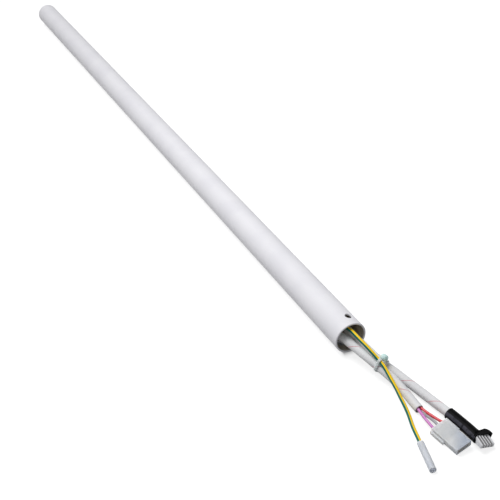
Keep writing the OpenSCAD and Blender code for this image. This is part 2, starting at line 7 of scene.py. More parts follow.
import logging
import math
from dataclasses import dataclass
from enum import Enum
from typing import Any, Optional, Sequence, Union

import bmesh
import bpy
import numpy as np
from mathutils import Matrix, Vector

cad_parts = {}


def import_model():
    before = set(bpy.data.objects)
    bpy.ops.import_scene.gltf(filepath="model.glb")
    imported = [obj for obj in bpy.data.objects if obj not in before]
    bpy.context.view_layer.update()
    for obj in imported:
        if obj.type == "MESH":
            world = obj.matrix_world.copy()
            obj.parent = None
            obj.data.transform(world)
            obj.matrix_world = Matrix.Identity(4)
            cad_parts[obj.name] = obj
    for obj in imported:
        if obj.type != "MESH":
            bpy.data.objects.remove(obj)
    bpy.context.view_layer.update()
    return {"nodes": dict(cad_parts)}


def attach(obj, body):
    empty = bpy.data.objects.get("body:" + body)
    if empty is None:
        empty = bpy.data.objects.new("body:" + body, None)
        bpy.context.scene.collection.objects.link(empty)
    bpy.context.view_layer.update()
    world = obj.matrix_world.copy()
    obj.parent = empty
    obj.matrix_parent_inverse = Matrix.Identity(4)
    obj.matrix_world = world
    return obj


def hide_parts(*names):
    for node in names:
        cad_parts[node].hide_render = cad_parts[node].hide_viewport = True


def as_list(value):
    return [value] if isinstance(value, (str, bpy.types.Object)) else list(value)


LOG = logging.getLogger("downrod")
MM = 0.001
MOUTH_X = 450.0
MOTOR_PLUG_PLACE = (MOUTH_X + 105.6, 10.3, 2.75)
MOTOR_PLUG_TURN = (9.0, 3.5, 9.0)
UP = (0.0, 0.0, 1.0)
Array = np.ndarray
Faces = Sequence[Sequence[int]]
Point = tuple[float, float, float]
Colour = tuple[float, float, float, float]
Material = bpy.types.Material
Object = bpy.types.Object
Socket = bpy.types.NodeSocket
Nodes = dict[str, Object]


class Body(Enum):
    """The bodies that the pieces ride on."""

    ROD = "rod"
    LOOM = "loom"
    EARTH_SLEEVE = "earth_sleeve"


class Slot(Enum):
    """The material slots of the pieces."""

    POWDER_COAT = "powder_coat"
    SLEEVING = "woven_sleeving"
    EARTH = "earth_insulation"
    RED = "red_insulation"
    GREY = "grey_insulation"
    VIOLET = "violet_insulation"
    THIN = "thin_insulation"
    NATURAL_NYLON = "natural_nylon"
    WHITE_NYLON = "white_nylon"
    HEAT_SHRINK = "heat_shrink"
    TIE_NYLON = "tie_nylon"
    BRASS = "tinned_brass"
    CLEAR = "clear_sleeve"


def srgb(*levels: float) -> Colour:
    """Turns a screen colour into a linear one.

    Args:
        levels: Red, green and blue from 0 to 255.

    Returns:
        The linear colour with full alpha.
    """
    c = np.array(levels) / 255.0
    linear = np.where(c <= 0.04045, c / 12.92, ((c + 0.055) / 1.055) ** 2.4)
    return (*linear.tolist(), 1.0)


def near(points: Sequence[Sequence[float]]) -> Array:
    """Points whose x is measured outwards from the motor end's mouth."""
    return np.asarray(points, float) + [MOUTH_X, 0.0, 0.0]


def far(points: Sequence[Sequence[float]]) -> Array:
    """Points whose x is measured inwards from the ceiling end's mouth."""
    return np.asarray(points, float) - [MOUTH_X, 0.0, 0.0]


def unit(v: Array) -> Array:
    """Vectors scaled to length one along the last axis."""
    return v / np.linalg.norm(v, axis=-1, keepdims=True)


def round_turn(count: int) -> Array:
    """Angles of count equal steps of one turn, in radians."""
    return 2.0 * np.pi * np.arange(count) / count


def turned(degrees: Point) -> Array:
    """Matrix of a turn about x, then y, then z.

    Args:
        degrees: The turn about each axis.

    Returns:
        The matrix, for columns.
    """
    a, b, c = np.radians(degrees)
    about_x = np.array([[1, 0, 0], [0, math.cos(a), -math.sin(a)], [0, math.sin(a), math.cos(a)]])
    about_y = np.array([[math.cos(b), 0, math.sin(b)], [0, 1, 0], [-math.sin(b), 0, math.cos(b)]])
    about_z = np.array([[math.cos(c), -math.sin(c), 0], [math.sin(c), math.cos(c), 0], [0, 0, 1]])
    return about_z @ about_y @ about_x


def heading(route: Array, i: int) -> Array:
    """Heading at a route's point, from its neighbour before to its neighbour after."""
    return unit(route[min(i + 1, len(route) - 1)] - route[max(i - 1, 0)])


def added(name: str, data: Any) -> Object:
    """Adds an object to the scene.

    Args:
        name: Its name.
        data: Its mesh, camera or lamp.

    Returns:
        The new object.
    """
    new = bpy.data.objects.new(name, data)
    bpy.context.scene.collection.objects.link(new)
    return new


def aim(thing: Object, place: Sequence[float], target: Sequence[float]) -> None:
    """Puts a camera or lamp at a place and points it at a target, both in metres."""
    thing.location = place
    thing.rotation_euler = (Vector(target) - Vector(place)).to_track_quat("-Z", "Y").to_euler()


class Path:
    """A smooth line through a route's points: a natural cubic spline over their chord lengths.

    Its table has fine steps for each span between two points, and its heading looks a little both ways.
    """

    fine = 24
    look = 0.6

    def __init__(self, route: Array) -> None:
        """Fits the spline and tabulates it.

        Args:
            route: Points of the route, one per row.
        """
        chord = np.concatenate([[0.0], np.cumsum(np.linalg.norm(np.diff(route, axis=0), axis=1))])
        h = np.diff(chord)
        n = len(route)
        system = np.eye(n)
        inner = np.arange(1, n - 1)
        system[inner, inner - 1] = h[:-1]
        system[inner, inner] = 2.0 * (h[:-1] + h[1:])
        system[inner, inner + 1] = h[1:]
        rise = np.diff(route, axis=0) / h[:, None]
        bend = np.zeros_like(route)
        bend[1:-1] = 6.0 * np.diff(rise, axis=0)
        second = np.linalg.solve(system, bend)
        b = np.linspace(0.0, 1.0, self.fine, endpoint=False)[None, :, None]
        a = 1.0 - b
        sag = ((a**3 - a) * second[:-1, None] + (b**3 - b) * second[1:, None]) * (h**2)[:, None, None] / 6.0
        spans = a * route[:-1, None] + b * route[1:, None] + sag
        self.points = np.concatenate([spans.reshape(-1, 3), route[-1:]])
        self.arc = np.concatenate([[0.0], np.cumsum(np.linalg.norm(np.diff(self.points, axis=0), axis=1))])
        self.total = float(self.arc[-1])
        self.knots = self.arc[:: self.fine]

    @staticmethod
    def through(run: Array, route: Array) -> tuple["Path", float]:
        """The line of a cord's run in the tube and its free route, and the place of their join along it."""
        path = Path(np.concatenate([run[::-1], route[1:]]))
        return path, float(path.knots[len(run) - 1])

    def at(self, s: Array) -> Array:
        """Points on the line, which goes straight on past either end.

        Args:
            s: Arc lengths.

        Returns:
            The point at each arc length.
        """
        inside = np.stack([np.interp(s, self.arc, self.points[:, k]) for k in range(3)], -1)
        start = unit(self.points[1] - self.points[0])
        stop = unit(self.points[-1] - self.points[-2])
        before = np.minimum(s, 0.0)[..., None] * start
        after = np.maximum(s - self.total, 0.0)[..., None] * stop
        return inside + before + after

    def across(self, s: Array) -> tuple[Array, Array]:
        """Directions square to the line.

        Args:
            s: Arc lengths.

        Returns:
            The level side and the up direction at each arc length.
        """
        tangent = unit(self.at(s + self.look) - self.at(s - self.look))
        side = unit(np.cross(UP, tangent))
        return side, np.cross(tangent, side)


def signed_power(c: Array, exponent: Union[float, Array]) -> Array:
    """Sign of c times its size to the power 2 / exponent, which squares up an ellipse."""
    return np.sign(c) * np.abs(c) ** (2.0 / exponent)


def grid_quads(rows: int, cols: int, wrap_rows: bool = False) -> Array:
    """Quads of a grid of vertices stored row by row, whose last column joins the first.

    Args:
        rows: Count of rows.
        cols: Count of columns.
        wrap_rows: Whether the last row joins the first too.

    Returns:
        Vertex numbers, four per quad: (i, j), (i, j+1), (i+1, j+1), (i+1, j).
    """
    i = np.arange(rows if wrap_rows else rows - 1)[:, None]
    j = np.arange(cols)[None, :]
    i2, j2 = (i + 1) % rows, (j + 1) % cols
    return np.stack([i * cols + j, i * cols + j2, i2 * cols + j2, i2 * cols + j], -1).reshape(-1, 4)


def weld(vertices: Array, faces: Array, reach: float = 0.002) -> tuple[Array, Array]:
    """Joins vertices that lie together and drops the ones that no face uses.

    Args:
        vertices: Vertices in millimetres.
        faces: Faces of equal corner count.
        reach: Distance in millimetres within which vertices are one.

    Returns:
        The joined vertices and the renumbered faces.
    """
    used, faces_used = np.unique(faces, return_inverse=True)
    kept = vertices[used]
    cells = np.round(kept / reach).astype(np.int64)
    _, first, inverse = np.unique(cells, axis=0, return_index=True, return_inverse=True)
    return kept[first], inverse.reshape(-1)[faces_used].reshape(faces.shape)


def sound_faces(faces: Array) -> list[list[int]]:
    """Welded faces without doubled corners, and without the ones that are left with two."""
    single = [list(dict.fromkeys(f)) for f in faces.tolist()]
    return [f for f in single if len(f) > 2]


def enclosed_volume(vertices: Array, faces: Faces) -> float:
    """Volume inside a closed mesh: the sum of a sixth of a . (b x c) over the fans of its faces.

    Args:
        vertices: Vertices of the mesh.
        faces: Vertex numbers of each face.

    Returns:
        The volume, which is below 0 where the faces point inwards.
    """
    total = 0.0
    for count in {len(f) for f in faces}:
        block = np.array([f for f in faces if len(f) == count])
        a = vertices[block[:, 0]]
        for k in range(1, count - 1):
            b, c = vertices[block[:, k]], vertices[block[:, k + 1]]
            total += float(np.einsum("ij,ij->", a, np.cross(b, c)))
    return total / 6.0


def together(skins: Sequence[tuple[Array, Faces]]) -> tuple[Array, list[list[int]], Array]:
    """Puts closed skins into one mesh, each with its faces pointing outwards.

    Args:
        skins: Vertices and faces of each skin.

    Returns:
        All vertices, all faces and the number of each face's skin.
    """
    faces, which, start = [], [], 0
    for number, (vertices, skin) in enumerate(skins):
        step = -1 if enclosed_volume(vertices, skin) < 0.0 else 1
        faces += [[start + k for k in f[::step]] for f in skin]
        which += [number] * len(skin)
        start += len(vertices)
    return np.concatenate([vertices for vertices, _ in skins]), faces, np.array(which)


@dataclass(frozen=True)
class Piece:
    """One finished object: its name, its slot, the CAD node that it stands for and the body that it rides on."""

    name: str
    slot: Slot
    node: str
    body: Body = Body.LOOM

    def make(
        self,
        vertices: Array,
        faces: Faces,
        materials: Sequence[Material],
        uv: Optional[Array] = None,
        which: Optional[Array] = None,
    ) -> Object:
        """Makes the closed object, with its faces pointing outwards, and hangs it on its body.

        Args:
            vertices: Vertices in millimetres in the row frame.
            faces: Vertex numbers of each face.
            materials: The materials of the slots.
            uv: Texture place of each face corner, in the faces' order.
            which: Material number of each face.

        Returns:
            The new object.
        """
        faces = [list(f) for f in faces]
        if enclosed_volume(vertices, faces) < 0.0:
            faces = [f[::-1] for f in faces]
            if uv is not None:
                ends = np.cumsum([len(f) for f in faces])
                uv = uv[np.concatenate([np.arange(b - 1, b - len(f) - 1, -1) for f, b in zip(faces, ends)])]
        mesh = bpy.data.meshes.new(self.name)
        mesh.from_pydata((vertices * MM).tolist(), [], faces)
        if uv is not None:
            layer = mesh.uv_layers.new(name="UVMap")
            layer.data.foreach_set("uv", np.ascontiguousarray(uv, np.float32).ravel())
        for material in materials:
            mesh.materials.append(material)
        if which is not None:
            mesh.polygons.foreach_set("material_index", np.asarray(which, np.int32))
        mesh.polygons.foreach_set("use_smooth", np.ones(len(faces), bool))
        mesh.update()
        mesh.validate()
        piece = added(self.name, mesh)
        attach(piece, self.body.value)
        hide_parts(self.node)
        lowest = vertices[:, 2].min()
        LOG.info("%s on %s, %d faces, lowest %.2f mm", self.name, self.body.value, len(faces), lowest)
        return piece


@dataclass(frozen=True)
class Rows:
    """Rings of a swept form, in order along its skin.

    s is the place along the path, a and b the half width and half height, power the exponent of the outline and
    lean its turn round the path in degrees.
    """

    s: Array
    a: Array
    b: Array
    power: Array
    lean: Array

    @staticmethod
    def round(s: Array, r: Array) -> "Rows":
        """Round rings of radius r."""
        return Rows(s, r, r, np.full_like(s, 2.0), np.zeros_like(s))


@dataclass(frozen=True)
class Sweep:
    """A closed skin over rings carried along a path, with a relief outwards."""

    path: Path
    rows: Rows
    sides: int
    relief: Union[float, Array] = 0.0

    def vertices(self) -> Array:
        """Ring points: centre + a cos(w) side + b sin(w) up, each power squared up, plus the relief outwards."""
        w = round_turn(self.sides)
        centre = self.path.at(self.rows.s)
        side, up = self.path.across(self.rows.s)
        lean = np.radians(self.rows.lean)[:, None]
        across = np.cos(lean) * side - np.sin(lean) * up
        over = np.cos(lean) * up + np.sin(lean) * side
        power = self.rows.power[:, None]
        c = (self.rows.a[:, None] + self.relief) * signed_power(np.cos(w)[None, :], power)
        d = (self.rows.b[:, None] + self.relief) * signed_power(np.sin(w)[None, :], power)
        ring = centre[:, None, :] + c[..., None] * across[:, None, :] + d[..., None] * over[:, None, :]
        return ring.reshape(-1, 3)

    def faces(self) -> list[list[int]]:
        """Quads between the rings, and a flat face on the first and last ring."""
        count = len(self.rows.s)
        ends = [list(range(self.sides - 1, -1, -1)), list(range((count - 1) * self.sides, count * self.sides))]
        return grid_quads(count, self.sides).tolist() + ends

    def uv(self, start: float) -> Array:
        """Texture places of the corners: u the share round the ring and v the metres along the path.

        Args:
            start: Metres to add along the path.

        Returns:
            One row of u and v per face corner.
        """
        v = start + self.rows.s * MM
        u = np.arange(self.sides + 1) / self.sides
        shape = (len(v) - 1, self.sides, 4)
        corner_u = np.broadcast_to(np.stack([u[:-1], u[1:], u[1:], u[:-1]], -1), shape)
        corner_v = np.broadcast_to(np.stack([v[:-1], v[:-1], v[1:], v[1:]], -1)[:, None], shape)
        quads = np.stack([corner_u, corner_v], -1).reshape(-1, 2)
        first = np.stack([u[:-1][::-1], np.full(self.sides, v[0])], -1)
        last = np.stack([u[:-1], np.full(self.sides, v[-1])], -1)
        return np.concatenate([quads, first, last])

    def make(self, piece: Piece, material: Material, start: float = 0.0) -> Object:
        """Makes the object of a piece from this skin, whose texture places start at some metres."""
        return piece.make(self.vertices(), self.faces(), [material], uv=self.uv(start))


class Graph:
    """The node tree of a material or the world, with short calls to add and join nodes."""

    def __init__(self, name: str, world: bool = False) -> None:
        """Starts an empty tree with its output node.

        Args:
            name: Name of the material or world.
            world: Whether it is a world.
        """
        self.owner = bpy.data.worlds.new(name) if world else bpy.data.materials.new(name)
        self.owner.use_nodes = True
        self.tree = self.owner.node_tree
        self.tree.nodes.clear()
        self.output = self.tree.nodes.new("ShaderNodeOutputWorld" if world else "ShaderNodeOutputMaterial")

    def add(self, kind: str, inputs: Optional[dict[Any, Any]] = None, **settings: Any) -> bpy.types.Node:
        """Adds a node.

        Args:
            kind: The node's type.
            inputs: Values or sockets for its inputs, by name or number.
            settings: The node's own settings.

        Returns:
            The new node.
        """
        node = self.tree.nodes.new(kind)
        for key, value in settings.items():
            setattr(node, key, value)
        for key, value in (inputs or {}).items():
            if isinstance(value, Socket):
                self.tree.links.new(value, node.inputs[key])
            else:
                node.inputs[key].default_value = value
        return node

    def math(self, operation: str, a: Any, b: Any = 0.0, c: Any = 0.0) -> Socket:
        """Result of a math node on up to three values or sockets."""
        return self.add("ShaderNodeMath", {0: a, 1: b, 2: c}, operation=operation).outputs[0]

    def times(self, a: Any, b: Any) -> Socket:
        """The product of a and b."""
        return self.math("MULTIPLY", a, b)

    def minus(self, a: Any, b: Any) -> Socket:
        """What is left of a without b."""
        return self.math("SUBTRACT", a, b)

    def scaled(self, a: Any, by: Any, plus: Any) -> Socket:
        """a times a number, plus another."""
        return self.math("MULTIPLY_ADD", a, by, plus)

    def size(self, a: Any) -> Socket:
        """a without its sign."""
        return self.math("ABSOLUTE", a)

    def wave(self, a: Any) -> Socket:
        """The sine of a."""
        return self.math("SINE", a)

    def from_point(self, place: Any, point: Point) -> Socket:
        """The way from a point to a place."""
        return self.add("ShaderNodeVectorMath", {0: place, 1: point}, operation="SUBTRACT").outputs[0]

    def along(self, place: Any, way: Point) -> Socket:
        """How far a place lies along a way: their dot product."""
        return self.add("ShaderNodeVectorMath", {0: place, 1: way}, operation="DOT_PRODUCT").outputs[1]

    def split(self, place: Any) -> tuple[Socket, Socket]:
        """The first two coordinates of a place."""
        parts = self.add("ShaderNodeSeparateXYZ", {0: place}).outputs
        return parts[0], parts[1]

    def smooth(self, value: Any, low: float, high: float) -> Socket:
        """Eased step of a value: 0 up to low and 1 from high on."""
        node = self.add("ShaderNodeMapRange", {0: value, 1: low, 2: high}, interpolation_type="SMOOTHSTEP")
        return node.outputs[0]

    def mix(self, share: Any, a: Any, b: Any) -> Socket:
        """Colour a share of the way from a to b."""
        return self.add("ShaderNodeMix", {0: share, 6: a, 7: b}, data_type="RGBA").outputs[2]

    def object_place(self) -> Socket:
        """Place on the object, in metres of the row frame."""
        return self.add("ShaderNodeTexCoord").outputs["Object"]

    def uv_place(self) -> tuple[Socket, Socket]:
        """The share round a cord and the metres along it."""
        return self.split(self.add("ShaderNodeTexCoord").outputs["UV"])

    def noise(self, place: Any, scale: float, detail: float = 2.0, rough: float = 0.5) -> Socket:
        """Cloudy noise from 0 to 1 with about scale lumps in a metre."""
        inputs = {"Vector": place, "Scale": scale, "Detail": detail, "Roughness": rough}
        return self.add("ShaderNodeTexNoise", inputs).outputs[0]

    def streaks(self, place: Any, lumps: Point, detail: float = 2.0) -> Socket:
        """Cloudy noise from 0 to 1 with its own count of lumps in a metre along each axis."""
        return self.noise(self.add("ShaderNodeMapping", {0: place, 3: lumps}).outputs[0], 1.0, detail)

    def bump(self, height: Any, depth_mm: float, strength: float) -> Socket:
        """Normal over a relief whose height of 1 stands depth_mm proud."""
        inputs = {"Height": height, "Distance": depth_mm * MM, "Strength": strength}
        return self.add("ShaderNodeBump", inputs).outputs[0]

    def seen(self) -> Socket:
        """One for what is seen directly, in gloss or through a clear piece, and none for other light."""
        rays = self.add("ShaderNodeLightPath").outputs
        through = self.math("MAXIMUM", rays["Is Camera Ray"], rays["Is Transmission Ray"])
        return self.math("MAXIMUM", through, rays["Is Glossy Ray"])

    def close(self, shader: bpy.types.Node) -> Any:
        """Joins the last shader to the output and gives the finished material or world."""
        self.tree.links.new(shader.outputs[0], self.output.inputs[0])
        return self.owner

    def shade(self, inputs: dict[str, Any]) -> Material:
        """Closes the tree with the main shader, by the names of its inputs."""
        return self.close(self.add("ShaderNodeBsdfPrincipled", inputs))


def lit_through(weight: float, reach: Point) -> dict[str, Any]:
    """Inputs of a shader that light goes through, with its reach in metres for red, green and blue."""
    return {"Subsurface Weight": weight, "Subsurface Scale": 1.0, "Subsurface Radius": reach}


@dataclass(frozen=True)
class PowderCoat:
    """White powder coat: a fine orange peel, faint clouds of tone and a few dull specks."""

    colour: Colour = srgb(234, 233, 237)
    shade: Colour = srgb(229, 228, 233)
    speck: Colour = srgb(205, 207, 210)
    roughness: float = 0.45
    gloss: float = 0.08

    def build(self) -> Material:
        """Makes the material."""
        g = Graph("powder_coat")
        place = g.object_place()
        cloud = g.noise(place, 35.0, 3.0)
        peel = g.noise(place, 950.0, 2.0, 0.45)
        speck = g.smooth(g.noise(place, 2600.0, 1.0), 0.72, 0.8)
        tone = g.mix(g.smooth(cloud, 0.35, 0.7), self.colour, self.shade)
        return g.shade({
            "Base Color": g.mix(g.times(speck, 0.12), tone, self.speck),
            "Roughness": g.scaled(cloud, 0.08, self.roughness - 0.04), "Specular IOR Level": self.gloss,
            "Normal": g.bump(g.scaled(speck, 0.25, peel), 0.03, 0.5)})


@dataclass(frozen=True)
class BareBore:
    """Bare drawn steel inside the tube, browned by oil, with a little powder just inside the mouths.

    The powder comes in over powder_over, in metres from the tube's middle, along a line that is ragged.
    """

    steel: Colour = srgb(188, 181, 166)
    stain: Colour = srgb(154, 144, 126)
    powder: Colour = srgb(196, 197, 196)
    powder_over: tuple[float, float] = (0.4495, 0.4535)
    ragged: float = 0.006

    def build(self) -> Material:
        """Makes the material."""
        g = Graph("bare_bore")
        place = g.object_place()
        along = g.size(g.split(place)[0])
        drawn = g.streaks(place, (12.0, 900.0, 900.0), 3.0)
        blotch = g.noise(place, 90.0, 4.0, 0.6)
        metal = g.mix(g.smooth(blotch, 0.35, 0.68), self.steel, self.stain)
        dust = g.smooth(g.scaled(g.noise(place, 260.0), self.ragged, along), *self.powder_over)
        return g.shade({
            "Base Color": g.mix(dust, metal, self.powder), "Metallic": 0.1,
            "Roughness": g.scaled(drawn, 0.25, 0.4), "Normal": g.bump(drawn, 0.03, 0.5)})


@dataclass(frozen=True)
class Sleeving:
    """Woven glass sleeving: two sets of slanting yarns, over and under, with one dashed red tracer yarn.

    The texture place is u round the sleeve and v metres along it from the join inside the mouth. The yarns are
    waves of yarns * u + v / pitch and yarns * u - v / pitch, and the tracer follows u + v / tracer_pitch.
    """

    name: str
    tracer_phase: float
    tracer_pitch: float
    yarns: int = 18
    pitch: float = 0.00135
    tracer_width: float = 0.04
    yarn: Colour = srgb(243, 243, 244)
    soiled: Colour = srgb(232, 232, 234)
    gap: Colour = srgb(206, 206, 209)
    tracer: Colour = srgb(208, 92, 104)

    def build(self) -> Material:
        """Makes the material."""
        g = Graph(self.name)
        u, v = g.uv_place()
        place = g.object_place()
        turns = g.times(u, 2.0 * math.pi * self.yarns)
        along = g.times(v, 2.0 * math.pi / self.pitch)
        left = g.wave(g.math("ADD", turns, along))
        right = g.wave(g.minus(turns, along))
        over = g.smooth(g.times(g.wave(turns), g.wave(along)), -0.25, 0.25)
        weave = g.math("ADD", g.times(left, over), g.times(right, g.minus(1.0, over)))
        height = g.scaled(weave, 0.5, 0.5)
        fuzz = g.noise(place, 1500.0, 3.0, 0.6)
        soil = g.smooth(g.noise(place, 55.0, 3.0), 0.4, 0.75)
        lay = g.smooth(g.scaled(fuzz, 0.35, height), 0.12, 0.85)
        tone = g.mix(lay, self.gap, g.mix(soil, self.yarn, self.soiled))
        turn = g.math("FRACT", g.math("ADD", g.scaled(v, 1.0 / self.tracer_pitch, u), self.tracer_phase))
        off = g.size(g.minus(turn, 0.5))
        line = g.minus(1.0, g.smooth(off, self.tracer_width * 0.38, self.tracer_width * 0.62))
        dash = g.scaled(g.smooth(right, -0.75, -0.1), 0.6, 0.1)
        return g.shade({
            "Base Color": g.mix(g.times(line, dash), tone, self.tracer), "Roughness": 0.62,
            "Specular IOR Level": 0.25, "Sheen Weight": 0.05,
            "Normal": g.bump(g.scaled(fuzz, 0.4, height), 0.16, 0.55)})


@dataclass(frozen=True)
class EarthInsulation:
    """Green and yellow insulation: one half of the wire's round is yellow, and turns a little past the mouth.

    The yellow turns by twist, a share of the round, over twist_over in metres from the join, and wanders a little.
    """

    green: Colour = srgb(8, 104, 88)
    yellow: Colour = srgb(255, 212, 2)
    scuffed: Colour = srgb(200, 205, 190)
    yellow_from: float = 0.784
    yellow_share: float = 0.5
    yellow_edge: float = 0.02
    twist: float = 0.055
    twist_over: tuple[float, float] = (0.06, 0.12)
    wander: float = 0.012

    def build(self) -> Material:
        """Makes the material."""
        g = Graph("earth_insulation")
        u, v = g.uv_place()
        place = g.object_place()
        wander = g.scaled(g.wave(g.times(v, 130.0)), self.wander, u)
        lies = g.scaled(g.smooth(v, *self.twist_over), -self.twist, self.yellow_from + self.twist)
        turn = g.math("FRACT", g.minus(wander, lies))
        past = g.smooth(turn, self.yellow_share, self.yellow_share + self.yellow_edge)
        stripe = g.minus(g.smooth(turn, 0.0, self.yellow_edge), past)
        scuff = g.noise(place, 420.0, 3.0)
        tone = g.mix(stripe, self.green, self.yellow)
        return g.shade({
            "Base Color": g.mix(g.times(g.smooth(scuff, 0.55, 0.95), 0.15), tone, self.scuffed),
            "Roughness": g.scaled(scuff, 0.16, 0.3), "Specular IOR Level": 0.16,
            "Normal": g.bump(g.noise(place, 900.0), 0.03, 0.4)})


@dataclass(frozen=True)
class Insulation:
    """Plain coloured wire insulation with a faint drawn grain and scuffs."""

    name: str
    colour: Colour
    scuffed: Colour

    def build(self) -> Material:
        """Makes the material."""
        g = Graph(self.name)
        place = g.object_place()
        grain = g.streaks(place, (120.0, 1500.0, 1500.0))
        scuff = g.noise(place, 210.0, 3.0)
        return g.shade({
            "Base Color": g.mix(g.smooth(scuff, 0.3, 0.9), self.colour, self.scuffed),
            "Roughness": g.scaled(scuff, 0.2, 0.26), **lit_through(0.08, (0.002, 0.001, 0.001)),
            "Normal": g.bump(grain, 0.006, 0.5)})


@dataclass(frozen=True)
class SlotRow:
    """The slots in a plug's top: a row across it at one pitch, below its top face. Lengths are in metres.

    middle is the middle of the plug's rear, lean its lean in degrees and rise the top face's height over it. The
    painted shade, a darker tone on the slots' walls and floors, fades out over the given depths, measured down from
    the top face.
    """

    middle: Point
    lean: float
    rise: float = 0.0022
    pitch: float = 0.0025
    half: float = 0.00085
    row: float = 0.005
    slot_shade_over: tuple[float, float] = (0.0007, 0.0001)
    # painted shade: the darker tone of the slots' walls and floors
    tone: Colour = srgb(165, 164, 165)

    def within(self, g: Graph, place: Socket) -> Socket:
        """Share of painted shade at a place: full on a slot's walls and floor and none on the ribs' tops.

        Args:
            g: The material's node tree.
            place: The place on the object.

        Returns:
            The share.
        """
        w = math.radians(self.lean)
        own = g.from_point(place, self.middle)
        across = g.along(own, (0.0, math.cos(w), -math.sin(w)))
        over = g.along(own, (0.0, math.sin(w), math.cos(w)))
        turn = g.math("FRACT", g.math("DIVIDE", across, self.pitch))
        off = g.times(g.size(g.minus(turn, 0.5)), self.pitch)
        in_slot = g.math("LESS_THAN", off, self.half)
        in_row = g.math("LESS_THAN", g.size(across), self.row)
        below = g.minus(1.0, g.smooth(over, *(self.rise - depth for depth in self.slot_shade_over)))
        return g.times(g.times(in_slot, in_row), below)


@dataclass(frozen=True)
class PaintedLightMouth:
    """The inside of a plug's mouth, whose walls get a pale tone of their own: painted light over the shade inside.

    place and turn are the plug's, low and high the corners of the mouth's inside in the plug's own frame.
    """

    place: Point = MOTOR_PLUG_PLACE
    turn: Point = MOTOR_PLUG_TURN
    low: Point = (17.3, -6.2, 1.0)
    high: Point = (25.3, 6.2, 4.2)
    # painted light: the pale tone that lightens the mouth's shaded inside
    tone: Colour = srgb(250, 246, 240)

    def within(self, g: Graph, place: Socket) -> Socket:
        """One in the mouth and none outside: a test of the distance from its middle along each own direction.

        Args:
            g: The material's node tree.
            place: The place on the object.

        Returns:
            The share.
        """
        ways, low, high = turned(self.turn).T, np.array(self.low), np.array(self.high)
        middle = (np.array(self.place) + (low + high) / 2.0 @ ways) * MM
        own = g.from_point(place, tuple(middle))
        x, y, z = (g.math("LESS_THAN", g.size(g.along(own, tuple(way))), float(half))
                   for way, half in zip(ways, (high - low) / 2.0 * MM))
        return g.times(g.times(x, y), z)


@dataclass(frozen=True)
class MouldedNylon:
    """Moulded nylon: slightly cloudy, lit through at thin walls, with an eroded tool's fine grain.

    Where a shade tone is given, the walls turn to it over a spread, from a place in metres along an axis on:
    painted shade, darker and bluer, over the plug's front.
    Where an area is given, its walls have a tone of their own: painted shade darkens the slots and painted light
    lightens the inside of a mouth.
    """

    name: str
    colour: Colour
    cloudy: Colour
    through: float
    roughness: float = 0.4
    painted_shade: Optional[Colour] = None
    shade_from: float = 0.0
    shade_spread: float = 0.0135
    shade_axis: Point = (1.0, 0.0, 0.0)
    area: Union[SlotRow, PaintedLightMouth, None] = None

    def build(self) -> Material:
        """Makes the material."""
        g = Graph(self.name)
        place = g.object_place()
        cloud = g.noise(place, 130.0, 3.0, 0.55)
        grain = g.noise(place, 3200.0, 2.0, 0.6)
        flow = g.streaks(place, (60.0, 420.0, 300.0))
        tone = g.mix(g.smooth(g.scaled(flow, 0.4, cloud), 0.45, 0.95), self.colour, self.cloudy)
        # painted shade: the tone turns darker and bluer along the axis, over the plug's front towards +Y
        if self.painted_shade is not None:
            along = g.along(place, self.shade_axis)
            deep = g.smooth(along, self.shade_from, self.shade_from + self.shade_spread)
            tone = g.mix(deep, tone, self.painted_shade)
        # the area's own tone: painted shade in slots, painted light in a mouth
        if self.area is not None:
            tone = g.mix(self.area.within(g, place), tone, self.area.tone)
        return g.shade({
            "Base Color": tone, "Roughness": g.scaled(grain, 0.16, self.roughness - 0.08),
            **lit_through(self.through, (0.007, 0.007, 0.0072)), "Specular IOR Level": 0.3,
            "Normal": g.bump(grain, 0.012, 0.6)})


@dataclass(frozen=True)
class HeatShrink:
    """Black heat shrink tube: fine lengthwise drag lines, shallow puckers, dust, and a painted highlight: a lighter
    bluish streak along the side that faces up and to -Y.
    """

    colour: Colour = srgb(4, 4, 5)
    dusty: Colour = srgb(11, 11, 13)
    # painted highlight: the colour of the lighter streak and the way that its side faces
    painted_highlight: Colour = srgb(76, 76, 84)
    highlight_way: Point = (0.0, -0.83, 0.558)

    def build(self) -> Material:
        """Makes the material."""
        g = Graph("heat_shrink")
        place = g.object_place()
        drag = g.streaks(place, (90.0, 900.0, 900.0), 3.0)
        pucker = g.streaks(place, (420.0, 160.0, 160.0))
        dust = g.noise(place, 1400.0, 3.0, 0.65)
        # painted highlight: where the normal faces the set way, broken up by the puckers, the black turns to a
        # lighter bluish grey
        facing = g.along(g.add("ShaderNodeNewGeometry").outputs["Normal"], self.highlight_way)
        highlight_share = g.times(g.smooth(facing, 0.9, 0.99), g.smooth(pucker, 0.15, 0.55))
        tone = g.mix(g.smooth(dust, 0.55, 0.8), self.colour, self.dusty)
        return g.shade({
            "Base Color": g.mix(highlight_share, tone, self.painted_highlight), "Roughness": g.scaled(drag, 0.2, 0.26),
            "Specular IOR Level": 0.03, "Normal": g.bump(g.scaled(drag, 0.3, pucker), 0.09, 0.5)})


@dataclass(frozen=True)
class TinnedBrass:
    """Tinned brass contacts: pale bright metal with rolled lines and yellow where the tin is thin."""

    name: str = "tinned_brass"
    tin: Colour = srgb(205, 204, 200)
    brass: Colour = srgb(196, 172, 118)
    metallic: float = 1.0
    roughness: float = 0.22

    def build(self) -> Material:
        """Makes the material."""
        g = Graph(self.name)
        place = g.object_place()
        rolled = g.streaks(place, (150.0, 2400.0, 2400.0))
        thin = g.noise(place, 320.0, 4.0, 0.6)
        return g.shade({
            "Base Color": g.mix(g.smooth(thin, 0.6, 0.8), self.tin, self.brass), "Metallic": self.metallic,
            "Roughness": g.scaled(rolled, 0.2, self.roughness), "Normal": g.bump(rolled, 0.01, 0.5)})


